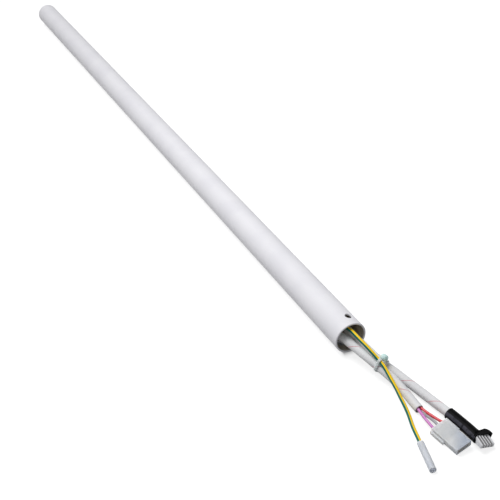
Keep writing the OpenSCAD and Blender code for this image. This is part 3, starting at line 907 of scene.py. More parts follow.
@dataclass(frozen=True)
class ClearSleeve:
    """Milky see-through insulating sleeve with faint drawn lines."""

    colour: Colour = srgb(232, 235, 241)
    milky: Colour = srgb(219, 223, 232)

    def build(self) -> Material:
        """Makes the material."""
        g = Graph("clear_sleeve")
        place = g.object_place()
        drawn = g.streaks(place, (70.0, 1300.0, 1300.0))
        cloud = g.noise(place, 160.0, 3.0)
        return g.shade({
            "Base Color": g.mix(g.smooth(cloud, 0.35, 0.7), self.colour, self.milky),
            "Transmission Weight": 0.3, "IOR": 1.3, **lit_through(0.2, (0.003, 0.003, 0.0033)),
            "Roughness": g.scaled(drawn, 0.2, 0.3), "Normal": g.bump(drawn, 0.02, 0.4)})


class Finishes:
    """The finishes of all the pieces, made once."""

    def __init__(self) -> None:
        """Makes the finishes."""
        self.coat = PowderCoat().build()
        self.bore = BareBore().build()
        self.motor_sleeving = Sleeving("motor_sleeving", 0.754, 0.027).build()
        self.light_sleeving = Sleeving("light_sleeving", 0.222, 0.0284).build()
        self.earth = EarthInsulation().build()
        self.red = Insulation("red_insulation", srgb(214, 52, 66), srgb(224, 92, 100)).build()
        self.grey = Insulation("grey_insulation", srgb(150, 152, 157), srgb(172, 174, 178)).build()
        self.violet = Insulation("violet_insulation", srgb(206, 122, 197), srgb(216, 150, 209)).build()
        self.thin = Insulation("thin_insulation", srgb(92, 92, 98), srgb(120, 120, 126)).build()
        # natural nylon: painted shade darkens its front, and painted light lightens the inside of its mouth
        self.nylon = MouldedNylon(
            "natural_nylon", srgb(242, 244, 247), srgb(229, 234, 241), 0.8, 0.45, painted_shade=srgb(177, 186, 203),
            shade_from=0.3467, shade_axis=(0.6, 0.8, 0.0), area=PaintedLightMouth()).build()
        # white nylon: painted shade darkens its row of slots
        self.white = MouldedNylon(
            "white_nylon", srgb(236, 236, 238), srgb(222, 223, 227), 0.15,
            area=SlotRow((0.5763, 0.0296, 0.00536), 15.0)).build()
        self.tie = MouldedNylon("tie_nylon", srgb(186, 224, 221), srgb(200, 230, 228), 0.8, 0.34).build()
        # painted light: a paler copy of the tie's nylon for the strap
        self.strap = MouldedNylon("painted_light_strap_nylon", srgb(216, 230, 232), srgb(226, 236, 238), 0.8, 0.34).build()
        self.shrink = HeatShrink().build()
        self.brass = TinnedBrass().build()
        # painted shade: a dark, dull copy of tinned brass for the slot strips, so the slots read dark
        self.shade_dark_strips = TinnedBrass("shade_darkened_strips", srgb(52, 50, 48), srgb(66, 58, 46), 0.1, 0.5).build()
        self.clear = ClearSleeve().build()


@dataclass(frozen=True)
class PhotoCamera:
    """The photograph's camera: its place and the floor point in the middle of its view, in millimetres."""

    place: Point = (934.286, -325.730, 467.786)
    looks_at: Point = (277.189, -5.877, 0.0)
    lens: float = 65.7326
    sensor: float = 36.0
    clip_start: float = 0.02
    clip_end: float = 50.0

    def build(self) -> None:
        """Makes the camera and gives it to the scene."""
        data = bpy.data.cameras.new("photo_camera")
        data.lens = self.lens
        data.sensor_width = self.sensor
        data.sensor_fit = "HORIZONTAL"
        data.clip_start, data.clip_end = self.clip_start, self.clip_end
        camera = added("photo_camera", data)
        aim(camera, Vector(self.place) * MM, Vector(self.looks_at) * MM)
        bpy.context.scene.camera = camera


@dataclass(frozen=True)
class Bore:
    """Places in the tube: its bore and the lanes in which the cords lie against its wall.

    join_in is where each cord's length in the tube meets its free length, and middle_stations pin its long
    straight stretch, both from the motor end's mouth.
    """

    radius: float = 12.5
    axis_z: float = 14.0
    lane_gap: float = 0.6
    bed_gap: float = 0.4
    join_in: float = -25.0
    middle_stations: tuple[float, ...] = (-150.0, -165.0, -185.0, -220.0, -640.0, -675.0, -692.0, -704.0)

    def lane_r(self, d: float) -> float:
        """Distance from the axis of a cord of diameter d on the wall."""
        return self.radius - d / 2.0 - self.lane_gap

    def lane(self, x: Sequence[float], d: float, turn: float) -> Array:
        """Points at stations x of a cord on the wall, turned from the lowest line by degrees."""
        r, w = self.lane_r(d), math.radians(turn)
        return np.array([[station, r * math.sin(w), self.axis_z - r * math.cos(w)] for station in x])

    def legs(self, legs: Sequence[tuple[Sequence[float], float]], d: float) -> Array:
        """Points of a cord on the wall whose stations from the motor end's mouth each have a turn."""
        return np.concatenate([self.lane([MOUTH_X + x for x in stations], d, turn) for stations, turn in legs])

    def lane_turn(self, d: float) -> float:
        """Turn in degrees of a cord that lies beside another over the lowest line."""
        return math.degrees(math.asin((d + self.lane_gap) / 2.0 / self.lane_r(d)))

    def bed_z(self, half: float) -> float:
        """Height of the bed that the bore gives a flat piece of a half width."""
        return self.axis_z - math.sqrt((self.radius - self.bed_gap) ** 2 - half * half)

    def groove_z(self, sleeves: Sequence[float], wire: float) -> float:
        """Height of a wire that lies in the groove over two sleeves.

        Args:
            sleeves: Diameters of the sleeves.
            wire: Diameter of the wire.

        Returns:
            The height of its middle.
        """
        heights = []
        for d in sleeves:
            lane_z = self.lane([0.0], d, self.lane_turn(d))[0][2]
            reach, half = (d + wire + self.lane_gap) / 2, (d + self.lane_gap) / 2
            heights.append(lane_z + math.sqrt(reach**2 - half**2))
        return max(heights)


@dataclass(frozen=True)
class Downrod:
    """The steel tube with its two cross pin holes.

    Each hole sits in a square patch of the wall, patch_reach to either side along the tube and patch steps of the
    round to either side. end_rings are places of rings from each end, and beside_hole from each hole.
    """

    length: float = 900.0
    radius: float = 14.0
    bore: float = 12.5
    edge: float = 0.4
    lip: float = 0.7
    lip_turns: tuple[float, ...] = (22.5, 45.0, 67.5, 90.0)
    pin_r: float = 3.0
    pin_inset: float = 11.3
    motor_turn: float = 15.0
    ceiling_turn: float = 60.0
    around: int = 96
    patch: int = 8
    patch_reach: float = 7.5
    patch_shares: tuple[float, ...] = (1.0, 0.7, 0.42, 0.2, 0.06)
    end_rings: tuple[float, ...] = (0.9, 1.2, 1.8)
    beside_hole: tuple[float, float] = (9.2, 12.0)
    middle_rings: int = 36
    bore_skin: float = 0.02

    def wall_stations(self) -> tuple[Array, list[int]]:
        """Places of the rings along a wall.

        Returns:
            The stations, and the number of the first station of each end's hole patch.
        """
        end = self.length / 2.0
        hole = end - self.pin_inset
        band = np.linspace(-self.patch_reach, self.patch_reach, 2 * self.patch + 1)
        lip = np.array([self.lip, *self.end_rings])
        beside, clear = self.beside_hole
        middle = np.linspace(-hole + clear, hole - clear, self.middle_rings)
        stations = np.concatenate(
            [lip - end, band - hole, [beside - hole], middle, [hole - beside], band + hole, end - lip[::-1]])
        return stations, [len(lip), len(lip) + len(band) + 1 + len(middle) + 1]

    def profile(self) -> tuple[Array, Array, int]:
        """The wall's section as a closed line of x and r: out along the outside, round each end, back inside.

        Returns:
            x, r and the number of stations on one wall.
        """
        x, _ = self.wall_stations()
        w = np.radians(self.lip_turns)
        lip_x = self.length / 2.0 - self.lip + self.lip * np.sin(w)
        out_r = self.radius - self.lip + self.lip * np.cos(w)
        in_r = self.bore + self.lip - self.lip * np.cos(w)
        outer, inner = np.full(len(x), self.radius), np.full(len(x), self.bore)
        ring_x = np.concatenate([x, lip_x, lip_x[::-1], x[::-1], -lip_x, -lip_x[::-1]])
        ring_r = np.concatenate([outer, out_r, in_r[::-1], inner, in_r, out_r[::-1]])
        return ring_x, ring_r, len(x)

    def place(self, x: Array, turn: Array, r: Array) -> Array:
        """Points at x and radius r, turned from the top towards +Y by radians."""
        return np.stack([x + 0.0 * turn, r * np.sin(turn), self.radius + r * np.cos(turn)], -1)

    def hole_strip(self, hole_x: float, turn: float) -> Array:
        """Rings from the bore through a pin hole to the outside, each with the corners of the square patch.

        A ring is a share w of the way from a circle of radius q, where x = q cos(f) and
        turn = asin(q sin(f) / r), to the patch's square outline.

        Args:
            hole_x: Station of the hole.
            turn: Its turn from the top, in radians.

        Returns:
            Points of the rings, one ring per row.
        """
        n = 2 * self.patch
        k = np.arange(n)
        low, high = np.zeros(n), np.full(n, n)
        p = np.concatenate([k, high, n - k, low])
        q = np.concatenate([low, k, high, n - k])
        square_x = -self.patch_reach + 2.0 * self.patch_reach * p / n
        square_turn = (q - self.patch) * 2.0 * np.pi / self.around
        f = np.arctan2(self.radius * square_turn, square_x)
        ease = np.radians([0.0, *self.lip_turns])
        rim_q = self.pin_r + self.edge * (1.0 - np.sin(ease))
        rim_drop = self.edge * (1.0 - np.cos(ease))
        shares = np.array(self.patch_shares)
        flat = np.ones(len(shares))
        lip, inner, outer = (self.pin_r + self.edge) * flat, self.bore * flat, self.radius * flat
        w = np.concatenate([shares, np.zeros(2 * len(ease)), shares[::-1]])[:, None]
        circle = np.concatenate([lip, rim_q, rim_q[::-1], lip])[:, None]
        r = np.concatenate([inner, self.bore + rim_drop, self.radius - rim_drop[::-1], outer])[:, None]
        ring_x = (1.0 - w) * circle * np.cos(f) + w * square_x
        ring_turn = (1.0 - w) * np.arcsin(circle * np.sin(f) / r) + w * square_turn
        return self.place(hole_x + ring_x, turn + ring_turn, r)

    def build(self, finishes: Finishes) -> None:
        """Makes the tube: the turned section without its hole patches, joined to the four hole strips.

        Args:
            finishes: The finishes to dress it in.
        """
        x, r, stations = self.profile()
        skin = self.place(x[:, None], round_turn(self.around)[None, :], r[:, None])
        quads = grid_quads(len(x), self.around, wrap_rows=True)
        row, col = np.divmod(np.arange(len(quads)), self.around)
        _, firsts = self.wall_stations()
        inside = 2 * stations + 2 * len(self.lip_turns) - 2 - row
        keep = np.ones(len(quads), bool)
        blocks, faces, start = [skin.reshape(-1, 3)], [], len(x) * self.around
        hole_x = self.length / 2.0 - self.pin_inset
        holes = ((firsts[0], -hole_x, self.ceiling_turn), (firsts[1], hole_x, self.motor_turn))
        for first, station, degrees in holes:
            for half in (0.0, 180.0):
                middle = round((degrees + half) / 360.0 * self.around)
                across = (col - middle + self.patch) % self.around < 2 * self.patch
                outer = (row >= first) & (row < first + 2 * self.patch)
                inner = (inside >= first) & (inside < first + 2 * self.patch)
                keep &= ~(across & (outer | inner))
                strip = self.hole_strip(station, math.radians(degrees + half))
                faces.append(start + grid_quads(strip.shape[0], strip.shape[1]))
                blocks.append(strip.reshape(-1, 3))
                start += strip.shape[0] * strip.shape[1]
        vertices, joined = weld(np.concatenate(blocks), np.concatenate([quads[keep]] + faces))
        middle_r = np.hypot(vertices[:, 1], vertices[:, 2] - self.radius)[joined].mean(1)
        piece = Piece("powder_coated_tube", Slot.POWDER_COAT, "downrod_tube", Body.ROD)
        in_bore = middle_r < self.bore + self.bore_skin
        piece.make(vertices, joined.tolist(), [finishes.coat, finishes.bore], which=in_bore)


@dataclass(frozen=True)
class MouldedCopy:
    """A hard piece taken from its CAD node, with its flat faces joined and its edges rounded.

    Faces that turn by less than flat_to degrees are joined, and edges that turn by more than round_from rounded.
    Where cut_at is given, what lies behind that x in millimetres, hidden in a boot, is left off.
    """

    node: str
    name: str
    slot: Slot
    edge: float
    cut_at: Optional[float] = None
    segments: int = 3
    flat_to: float = 2.0
    round_from: float = 35.0

    def build(self, nodes: Nodes, material: Material) -> Object:
        """Makes the piece.

        Args:
            nodes: The frame's CAD nodes.
            material: Its finish.

        Returns:
            The new object.
        """
        source = nodes[self.node].data
        source.calc_loop_triangles()
        places = np.empty(len(source.vertices) * 3)
        source.vertices.foreach_get("co", places)
        corners = np.empty(len(source.loop_triangles) * 3, np.int32)
        source.loop_triangles.foreach_get("vertices", corners)
        vertices, faces = weld(places.reshape(-1, 3) / MM, corners.reshape(-1, 3))
        made = Piece(self.name, self.slot, self.node).make(vertices, sound_faces(faces), [material])
        work = bmesh.new()
        work.from_mesh(made.data)
        flat = math.radians(self.flat_to)
        bmesh.ops.dissolve_limit(work, angle_limit=flat, verts=work.verts[:], edges=work.edges[:])
        if self.cut_at is not None:
            cut = bmesh.ops.bisect_plane(
                work, geom=work.verts[:] + work.edges[:] + work.faces[:], plane_co=(self.cut_at * MM, 0.0, 0.0),
                plane_no=(1.0, 0.0, 0.0), clear_inner=True)
            rim = [e for e in cut["geom_cut"] if isinstance(e, bmesh.types.BMEdge)]
            bmesh.ops.triangle_fill(work, edges=rim, use_beauty=True)
            bmesh.ops.recalc_face_normals(work, faces=work.faces[:])
        work.to_mesh(made.data)
        work.free()
        bevel = made.modifiers.new("rounded_edges", "BEVEL")
        bevel.width = self.edge * MM
        bevel.segments = self.segments
        bevel.limit_method = "ANGLE"
        bevel.angle_limit = math.radians(self.round_from)
        bevel.harden_normals = True
        return made


class FarEnd(Enum):
    """What a free cord ends in."""

    BARE = "bare"
    CONNECTOR = "connector"


@dataclass(frozen=True)
class FreeCord:
    """A cord's free stretch, from a place along its path to the path's end, whose points a step apart are worked
    out and not kept.
    """

    cord: Object
    path: Path
    start: float
    diameter: float
    leaves_at: Point
    far_end: FarEnd
    carries: tuple[Object, ...] = ()
    step: float = 2.0
    fewest: int = 16

    def declare(self) -> None:
        length = self.path.total - self.start
        places = np.linspace(self.start, self.path.total, max(self.fewest, int(length / self.step)))
        [c * MM for c in self.leaves_at]
        (self.path.at(places) * MM).tolist()
        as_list(self.carries)


@dataclass(frozen=True)
class WovenSleeve:
    """Woven sleeving over a lead's wires, in two lengths that meet inside the mouth.

    step is the distance of its rings, depth how far an open end runs back inside and lump the height of its waves.
    """

    name: str
    d: float
    wall: float = 0.6
    depth: float = 10.0
    lump: float = 0.03
    step: float = 0.9
    sides: int = 36

    def rows(self, start: float, stop: float, open_start: bool, open_stop: bool) -> Rows:
        """Rings between two places along the path, with an open cut end where asked.

        An open end turns over its rounded cut edge and runs back inside by the open depth.

        Args:
            start: Place of the first ring.
            stop: Place of the last ring.
            open_start: Whether the first end is open.
            open_stop: Whether the last end is open.

        Returns:
            The rings.
        """
        r = self.d / 2.0
        inner = r - self.wall
        outside = np.linspace(start, stop, max(8, int((stop - start) / self.step)))
        s, radius = [outside], [np.full_like(outside, r)]
        deep = np.array([0.0, 0.0, 0.25, 1.0, 4.0, self.depth])
        lip = np.array([r - 0.12, inner + 0.1, inner, inner, inner, inner])
        if open_start:
            s.insert(0, (start + deep)[::-1])
            radius.insert(0, lip[::-1])
        if open_stop:
            s.append(stop - deep)
            radius.append(lip)
        return Rows.round(np.concatenate(s), np.concatenate(radius))

    def build(self, run: Array, route: Array, material: Material) -> tuple[Object, Path, float]:
        """Makes both lengths, with a slow lumpiness over the wires: two waves along the sleeve.

        Args:
            run: Route in the tube, from the join to the ceiling end.
            route: Free route, from the join outwards.
            material: The finish.

        Returns:
            The free length, the whole path and the place of the join along it.
        """
        path, join = Path.through(run, route)
        lengths = ((0.0, join, "in_tube", f"{self.name}_run"), (join, path.total, "out", self.name))
        made = []
        for start, stop, where, node in lengths:
            rows = self.rows(start, stop, start == 0.0, stop == path.total)
            lumps = self.lump * (np.sin(rows.s * 0.41) + 0.8 * np.sin(rows.s * 0.173 + 1.0))
            piece = Piece(f"{self.name}_{where}", Slot.SLEEVING, node)
            made.append(Sweep(path, rows, self.sides, lumps[:, None]).make(piece, material, -join * MM))
        return made[1], path, join


@dataclass(frozen=True)
class RoundWire:
    """A plain insulated wire of one diameter, with rings a step apart and rounded off ends."""

    d: float
    sides: int = 20
    step: float = 0.8
    end_share: float = 0.94

    def sweep(self, path: Path, start: float, stop: float) -> Sweep:
        """The wire's skin.

        Args:
            path: The line that the wire follows.
            start: Place of its start along the path.
            stop: Place of its end.

        Returns:
            The skin.
        """
        s = np.linspace(start, stop, max(12, int((stop - start) / self.step)))
        r = np.full_like(s, self.d / 2.0)
        r[[0, -1]] *= self.end_share
        return Sweep(path, Rows.round(s, r), self.sides)

    def bundle(self, lines: Sequence[Array], piece: Piece, materials: Sequence[Material]) -> None:
        """Makes several wires as one object.

        Args:
            lines: The route of each wire.
            piece: Their name, slot and node.
            materials: One finish for each wire.
        """
        paths = [Path(line) for line in lines]
        sweeps = [self.sweep(path, 0.0, path.total) for path in paths]
        vertices, faces, which = together([(sweep.vertices(), sweep.faces()) for sweep in sweeps])
        piece.make(vertices, faces, materials, which=which)


@dataclass(frozen=True)
class ThreeWayPlug:
    """Sizes of the flat three way plug that the ends of its wires need."""

    width: float = 16.7
    height: float = 5.2
    pitch: float = 4.5
    contact_rear: float = 6.1
    contact_gap: float = 0.1
    edge: float = 0.3
    contact_edge: float = 0.08

    def wire_in(self) -> float:
        """How far a wire goes into the plug, up to its contact."""
        return self.contact_rear - self.contact_gap

    def build(self, nodes: Nodes, finishes: Finishes, end: str, contact_node: str) -> tuple[Object, Object]:
        """Makes the housing and the contacts of the plug at one end of the lead.

        Args:
            nodes: The frame's CAD nodes.
            finishes: The finishes to dress them in.
            end: What the housing node's and the pieces' names begin with at that end.
            contact_node: The contacts' node.

        Returns:
            The housing and the contacts.
        """
        housing = MouldedCopy(f"{end}motor_plug", f"{end}three_way_housing", Slot.NATURAL_NYLON, self.edge)
        contacts = MouldedCopy(contact_node, f"{end}three_way_blades", Slot.BRASS, self.contact_edge)
        return housing.build(nodes, finishes.nylon), contacts.build(nodes, finishes.brass)


@dataclass(frozen=True)
class MotorLead:
    """The motor lead: a woven sleeve, three wires out of its end and a flat three way plug on the floor."""

    bore: Bore = Bore()
    sleeve: WovenSleeve = WovenSleeve("motor_sleeve", 7.0)
    wire: RoundWire = RoundWire(2.2)
    plug: ThreeWayPlug = ThreeWayPlug()
    pin_lane: float = -85.0
    leaves_at: Point = (MOUTH_X, -4.1, 13.2)
    plug_place: Point = MOTOR_PLUG_PLACE
    plug_turn: Point = MOTOR_PLUG_TURN

    def route(self) -> Array:
        """Free stretch of the sleeve, from the join inside the mouth."""
        start = self.bore.legs([((self.bore.join_in, -18.0, -11.0), self.pin_lane)], self.sleeve.d)
        return np.concatenate([start, near([
            [-7.5, -7.4, 13.7], [-4, -5.3, 13.75], [-1, -4.3, 13.3], [2.5, -3.7, 13.05], [7.5, -3, 13],
            [14, -2, 12.8], [20.5, -0.8, 12.5], [27.5, 0.8, 11.8], [36, 3.3, 10.2], [46, 5.8, 8.8],
            [56, 7.5, 7.2], [66, 8.3, 5.6], [76, 8.6, 4.2], [84, 8.6, 3.6]])])

    def run(self) -> Array:
        """The sleeve inside the tube, from the join to the ceiling end."""
        side = -self.bore.lane_turn(self.sleeve.d)
        start = self.bore.legs(
            [((self.bore.join_in, -32.0, -40.0), self.pin_lane), ((-75.0,), -70.0), ((-110.0,), -45.0),
             (self.bore.middle_stations, side)], self.sleeve.d)
        stop = self.bore.lane([x - MOUTH_X for x in (200.0, 160.0, 148.0)], self.sleeve.d, side)
        return np.concatenate([start, stop])

    def in_plug(self, way: int) -> Array:
        """Last stretch of a wire in the plug's way, from -1 to 1, turned and set in place."""
        y, z = way * self.plug.pitch, self.plug.height / 2.0
        own = np.array([[x, y, z] for x in (0.0, self.plug.wire_in())])
        return np.array(self.plug_place) + own @ turned(self.plug_turn).T

    def wire_routes(self) -> dict[Slot, Array]:
        """Route of each wire, from inside the sleeve's open end to its contact, by its slot."""
        free = {
            Slot.RED: (1, [[74.4, 9.7, 5.6], [79, 9.75, 5.1], [84, 9.8, 4.8], [88, 10.3, 4.9], [92, 10.9, 5.2],
                           [97, 12, 5.5], [102, 13.3, 5.8]]),
            Slot.GREY: (0, [[74.2, 7.7, 3], [79, 8, 2.5], [84, 8.5, 2.3], [88, 9, 2.7], [92, 9.4, 3.6],
                            [97, 9.7, 4.7], [102, 9.9, 5.3]]),
            Slot.VIOLET: (-1, [[74.4, 7.4, 5.3], [79, 7.2, 4.8], [84, 7.3, 4.5], [88, 6.8, 4.6], [92, 6.2, 4.8],
                               [97, 5.6, 5], [102, 5.4, 5]]),
        }
        return {slot: np.concatenate([near(points), self.in_plug(way)]) for slot, (way, points) in free.items()}

    def build(self, nodes: Nodes, finishes: Finishes) -> None:
        """Args:
            nodes: The frame's CAD nodes.
            finishes: The finishes to dress them in.
        """
        free, path, join = self.sleeve.build(self.run(), self.route(), finishes.motor_sleeving)
        FreeCord(free, path, join, self.sleeve.d, self.leaves_at, FarEnd.BARE).declare()
        plug = self.plug.build(nodes, finishes, "", "motor_plug_contacts")
        tones = {Slot.RED: finishes.red, Slot.GREY: finishes.grey, Slot.VIOLET: finishes.violet}
        sleeve_end = tuple(self.route()[-1])
        for slot, route in self.wire_routes().items():
            colour = slot.value.split("_")[0]
            line = Path(route)
            piece = Piece(f"{colour}_wire", slot, f"motor_wire_{colour}")
            wire = self.wire.sweep(line, 0.0, line.total).make(piece, tones[slot])
            FreeCord(wire, line, 0.0, self.wire.d, sleeve_end, FarEnd.CONNECTOR, plug).declare()


@dataclass(frozen=True)
class ShrunkBoot:
    """A boot shrunk over a sleeve's end and a four way plug's rear.

    Its section goes a share from the sleeve's round to the plug's flat oblong, which leans over. Towards the
    mouth it is thinned and drawn in over the plug's height, and on its +Y side it gapes outwards and upwards.
    close_rings are the places, back from the mouth, where the wide rings end and the close ones start.
    """

    sleeve_d: float = 7.2
    plug_w: float = 12.4
    plug_h: float = 4.4
    wall: float = 0.8
    gap: float = 0.15
    mouth_gap: float = 0.45
    corners: float = 8.0
    floor_gap: float = 0.1
    thinned: float = 0.35
    drawn_in: float = 0.65
    gape: tuple[float, float] = (2.5, 0.8)
    close_rings: tuple[float, float] = (8.0, 7.7)
    pucker: float = 0.1
    wave: float = 0.05
    sides: int = 64

    def half(self, size: float, share: Any) -> Any:
        """Inside half size of a section at a share of the way to the plug, which has a full size."""
        r = self.sleeve_d / 2.0 + self.gap
        return r + share * (size / 2.0 + self.mouth_gap - r)

    def rest_z(self, share: float, lean: float) -> float:
        """Height of a section's middle where it leans by its share with its low edge on the floor."""
        w = math.radians(share * lean)
        return (self.floor_gap + (self.half(self.plug_w, share) + self.wall) * math.sin(w)
                + (self.half(self.plug_h, share) + self.wall) * math.cos(w))

    def build(self, centres: Array, shares: Array, lean: float, piece: Piece, material: Material) -> Object:
        """Makes a boot over its stations.

        The skin goes along the outside, over the rounded mouth, back inside and over the rounded rear. Its
        relief outside is a ring of puckers at the flare and slow waves along it. The gape moves the section's
        points on the +Y side by their share of its half width, times the squared share of the way to the plug.

        Args:
            centres: Middles of the stations.
            shares: Share of each station from round to flat.
            lean: Lean of the flat, in degrees.
            piece: The boot's name, slot and node.
            material: Its finish.

        Returns:
            The new object.
        """
        path = Path(centres)
        wide_to, close_from = (path.total - back for back in self.close_rings)
        s = np.concatenate([np.linspace(0.0, wide_to, 40), np.linspace(close_from, path.total, 34)])
        share = np.clip(np.interp(s, path.knots, shares), 0.0, 1.0)
        turn = np.radians([30.0, 60.0, 90.0, 120.0, 150.0])
        half_wall = self.wall / 2.0
        lip, reach = half_wall * np.cos(turn), self.wall / 4.0 * np.sin(turn)
        inside = s[::-3]
        places = np.concatenate([s, path.total + reach, inside, -reach])
        grow = np.concatenate([np.full_like(s, self.wall), half_wall + lip, np.zeros_like(inside), half_wall - lip])
        part = np.interp(places, s, share)
        thick = grow * (1.0 - self.thinned * part)
        wide = self.half(self.plug_w, part) + thick
        high = self.half(self.plug_h, part) + thick - self.drawn_in * part
        rows = Rows(places, wide, high, 2.0 + self.corners * part**2, part * lean)
        w = round_turn(self.sides)
        flare = np.exp(-(((part - 0.25) / 0.2) ** 2))[:, None]
        waves = self.wave * np.sin(places * 0.9)[:, None] * np.cos(2.0 * w)
        outside = (grow > 0.99 * self.wall)[:, None]
        relief = np.where(outside, self.pucker * flare * np.sin(9.0 * w) + waves, 0.0)
        points = Sweep(path, rows, self.sides, relief).vertices()
        side = np.clip(signed_power(np.cos(w)[None, :], rows.power[:, None]), 0.0, 1.0) * (part**2)[:, None]
        points += side.reshape(-1, 1) * np.array([0.0, *self.gape])
        return piece.make(points, grid_quads(len(places), self.sides, wrap_rows=True).tolist(), [material])


@dataclass(frozen=True)
class FourWayEnd:
    """Boot, fanned wires and plug at one end of the light lead.

    rear is the middle of the plug's rear, out is +1 where the plug faces +X and -1 where it faces -X, and
    flare holds the boot's stations before the plug: x, y, z and the share from round to flat. The flare has crept
    by creep along the plug, whose hidden rear is left off by rear_cut. The wires leave the sleeve at bunch_turns
    round its middle.
    """

    end: str
    contact_node: str
    rear: Point
    out: float
    lean: float
    flare: tuple[tuple[float, float, float, float], ...]
    creep: float = 0.0
    rear_cut: Optional[float] = None
    boot: ShrunkBoot = ShrunkBoot()
    wire: RoundWire = RoundWire(1.4, 16)
    pitch: float = 2.5
    wire_drop: float = 0.15
    bunch_r: float = 1.47
    bunch_turns: tuple[float, ...] = (225.0, 135.0, 45.0, 315.0)
    lap: float = 0.32
    on_plug: tuple[float, float] = (-0.4, 2.8)
    depth: float = 9.8
    lead_in: Point = (-0.8, 0.0, 1.5)
    plug_edge: float = 0.15
    strip_edge: float = 0.06

    @staticmethod
    def on_floor() -> "FourWayEnd":
        """The motor end's, whose plug leans over with the boot's low edge on the floor."""
        boot, lean = ShrunkBoot(), 15.0
        line = ((111.0, 26.7, 0.0), (117.0, 27.4, 0.0), (121.0, 27.9, 0.02), (123.2, 28.3, 0.1),
                (124.5, 28.8, 0.5), (125.3, 29.2, 0.9))
        flare = tuple((MOUTH_X + x, y, boot.rest_z(share, lean), share) for x, y, share in line)
        rear = (MOUTH_X + 126.3, 29.6, boot.rest_z(1.0, lean))
        return FourWayEnd(
            "", "light_plug_contacts", rear, 1.0, lean, flare, 2.4, rear[0] + 2.3, lead_in=(-0.1, 0.6, 1.5))

    @staticmethod
    def tucked_in(bore: Bore) -> "FourWayEnd":
        """The ceiling end's, whose boot lies with its mouth on the bore's wall."""
        boot = ShrunkBoot(thinned=0.0, drawn_in=0.0, gape=(0.0, 0.0))
        skirt = boot.mouth_gap + boot.wall
        z = skirt + boot.plug_h / 2.0 + bore.bed_z(boot.plug_w / 2.0 + skirt)
        line = ((62.0, 0.2, 0.02), (57.0, 0.1, 0.1), (52.5, 0.0, 0.5), (49.8, 0.0, 0.9))
        flare = tuple((x - MOUTH_X, y, z, share) for x, y, share in line)
        rear = (48.0 - MOUTH_X, 0.0, z)
        return FourWayEnd("ceiling_", "ceiling_light_contacts", rear, -1.0, 0.0, flare, boot=boot)

    def stations(self, route: Array) -> tuple[Array, Array]:
        """The boot's stations, from its lap on the sleeve to its mouth on the plug.

        Args:
            route: The sleeve's route.

        Returns:
            Their middles and their shares from round to flat.
        """
        lap = [route[-2] + self.lap * (route[-1] - route[-2]), route[-1]]
        mouth = np.array(self.rear) + np.array([[self.out * x, 0.0, 0.0] for x in self.on_plug])
        middle = np.array([station[:3] for station in self.flare])
        shares = np.array([0.0, 0.0] + [station[3] for station in self.flare] + [1.0, 1.0])
        return np.concatenate([lap, middle, mouth]), shares

    def fan_offset(self, i: int, share: float, way: Array) -> Array:
        """Place of a wire off the centre line: a share of the way from its place in the bunch to its way.

        Args:
            i: Number of the wire.
            share: Share from the bunch to the plug.
            way: Heading of the centre line.

        Returns:
            The offset.
        """
        turn = math.radians(self.bunch_turns[i])
        start = self.bunch_r * np.array([math.cos(turn), math.sin(turn)])
        q = start + share * (np.array([(i - 1.5) * self.pitch, -self.wire_drop]) - start)
        flat = unit(np.cross(UP, way))
        lean = math.radians(share * self.lean)
        side = math.cos(lean) * flat - math.sin(lean) * np.cross(way, flat)
        return q[0] * side + q[1] * np.cross(way, side)

    def build_boot(self, route: Array, material: Material) -> Object:
        """Makes the boot over the end of the sleeve.

        Args:
            route: The sleeve's route.
            material: The boot's finish.

        Returns:
            The new object.
        """
        centres, shares = self.stations(route)
        flared = (shares > 0.0) & (np.arange(len(shares)) < len(shares) - 1)
        crept = centres + np.where(flared, self.out * self.creep, 0.0)[:, None] * [1.0, 0.0, 0.0]
        piece = Piece(f"{self.end}shrunk_boot", Slot.HEAT_SHRINK, f"{self.end}light_boot")
        return self.boot.build(crept, shares, self.lean, piece, material)

    def build_wires(self, route: Array, material: Material) -> None:
        """Makes the four wires, which leave the sleeve's open end in a bunch and fan out to the plug.

        Args:
            route: The sleeve's route.
            material: Their finish.
        """
        centres, shares = self.stations(route)
        t = heading(route, len(route) - 1)
        way = np.array([self.out, 0.0, 0.0])
        count = len(self.bunch_turns)
        lines = [np.array(
            [route[-1] - back * t + self.fan_offset(i, 0.0, t) for back in (self.depth, 0.0)]
            + [centres[k] + self.fan_offset(i, float(shares[k]), heading(centres, k))
               for k in range(2, len(centres) - 3)]
            + [np.array(self.rear) + x * way + self.fan_offset(i, 1.0, way) for x in self.lead_in])
            for i in range(count)]
        piece = Piece(f"{self.end}light_plug_wires", Slot.THIN, f"{self.end}light_wires")
        self.wire.bundle(lines, piece, [material] * count)

    def build(self, nodes: Nodes, route: Array, finishes: Finishes) -> tuple[Object, ...]:
        """Makes the boot, the wires, the housing and the contact strips.

        Args:
            nodes: The frame's CAD nodes.
            route: The sleeve's route to this end.
            finishes: The finishes to dress them in.

        Returns:
            The pieces that show at the lead's end: boot, housing and strips.
        """
        self.build_wires(route, finishes.thin)
        boot = self.build_boot(route, finishes.shrink)
        housing = MouldedCopy(f"{self.end}light_plug", f"{self.end}four_way_housing", Slot.WHITE_NYLON,
                              self.plug_edge, self.rear_cut)
        # the strips take the dark copy of tinned brass: painted shade in the slots
        strips = MouldedCopy(self.contact_node, f"{self.end}four_way_strips", Slot.BRASS, self.strip_edge)
        return boot, housing.build(nodes, finishes.white), strips.build(nodes, finishes.shade_dark_strips)


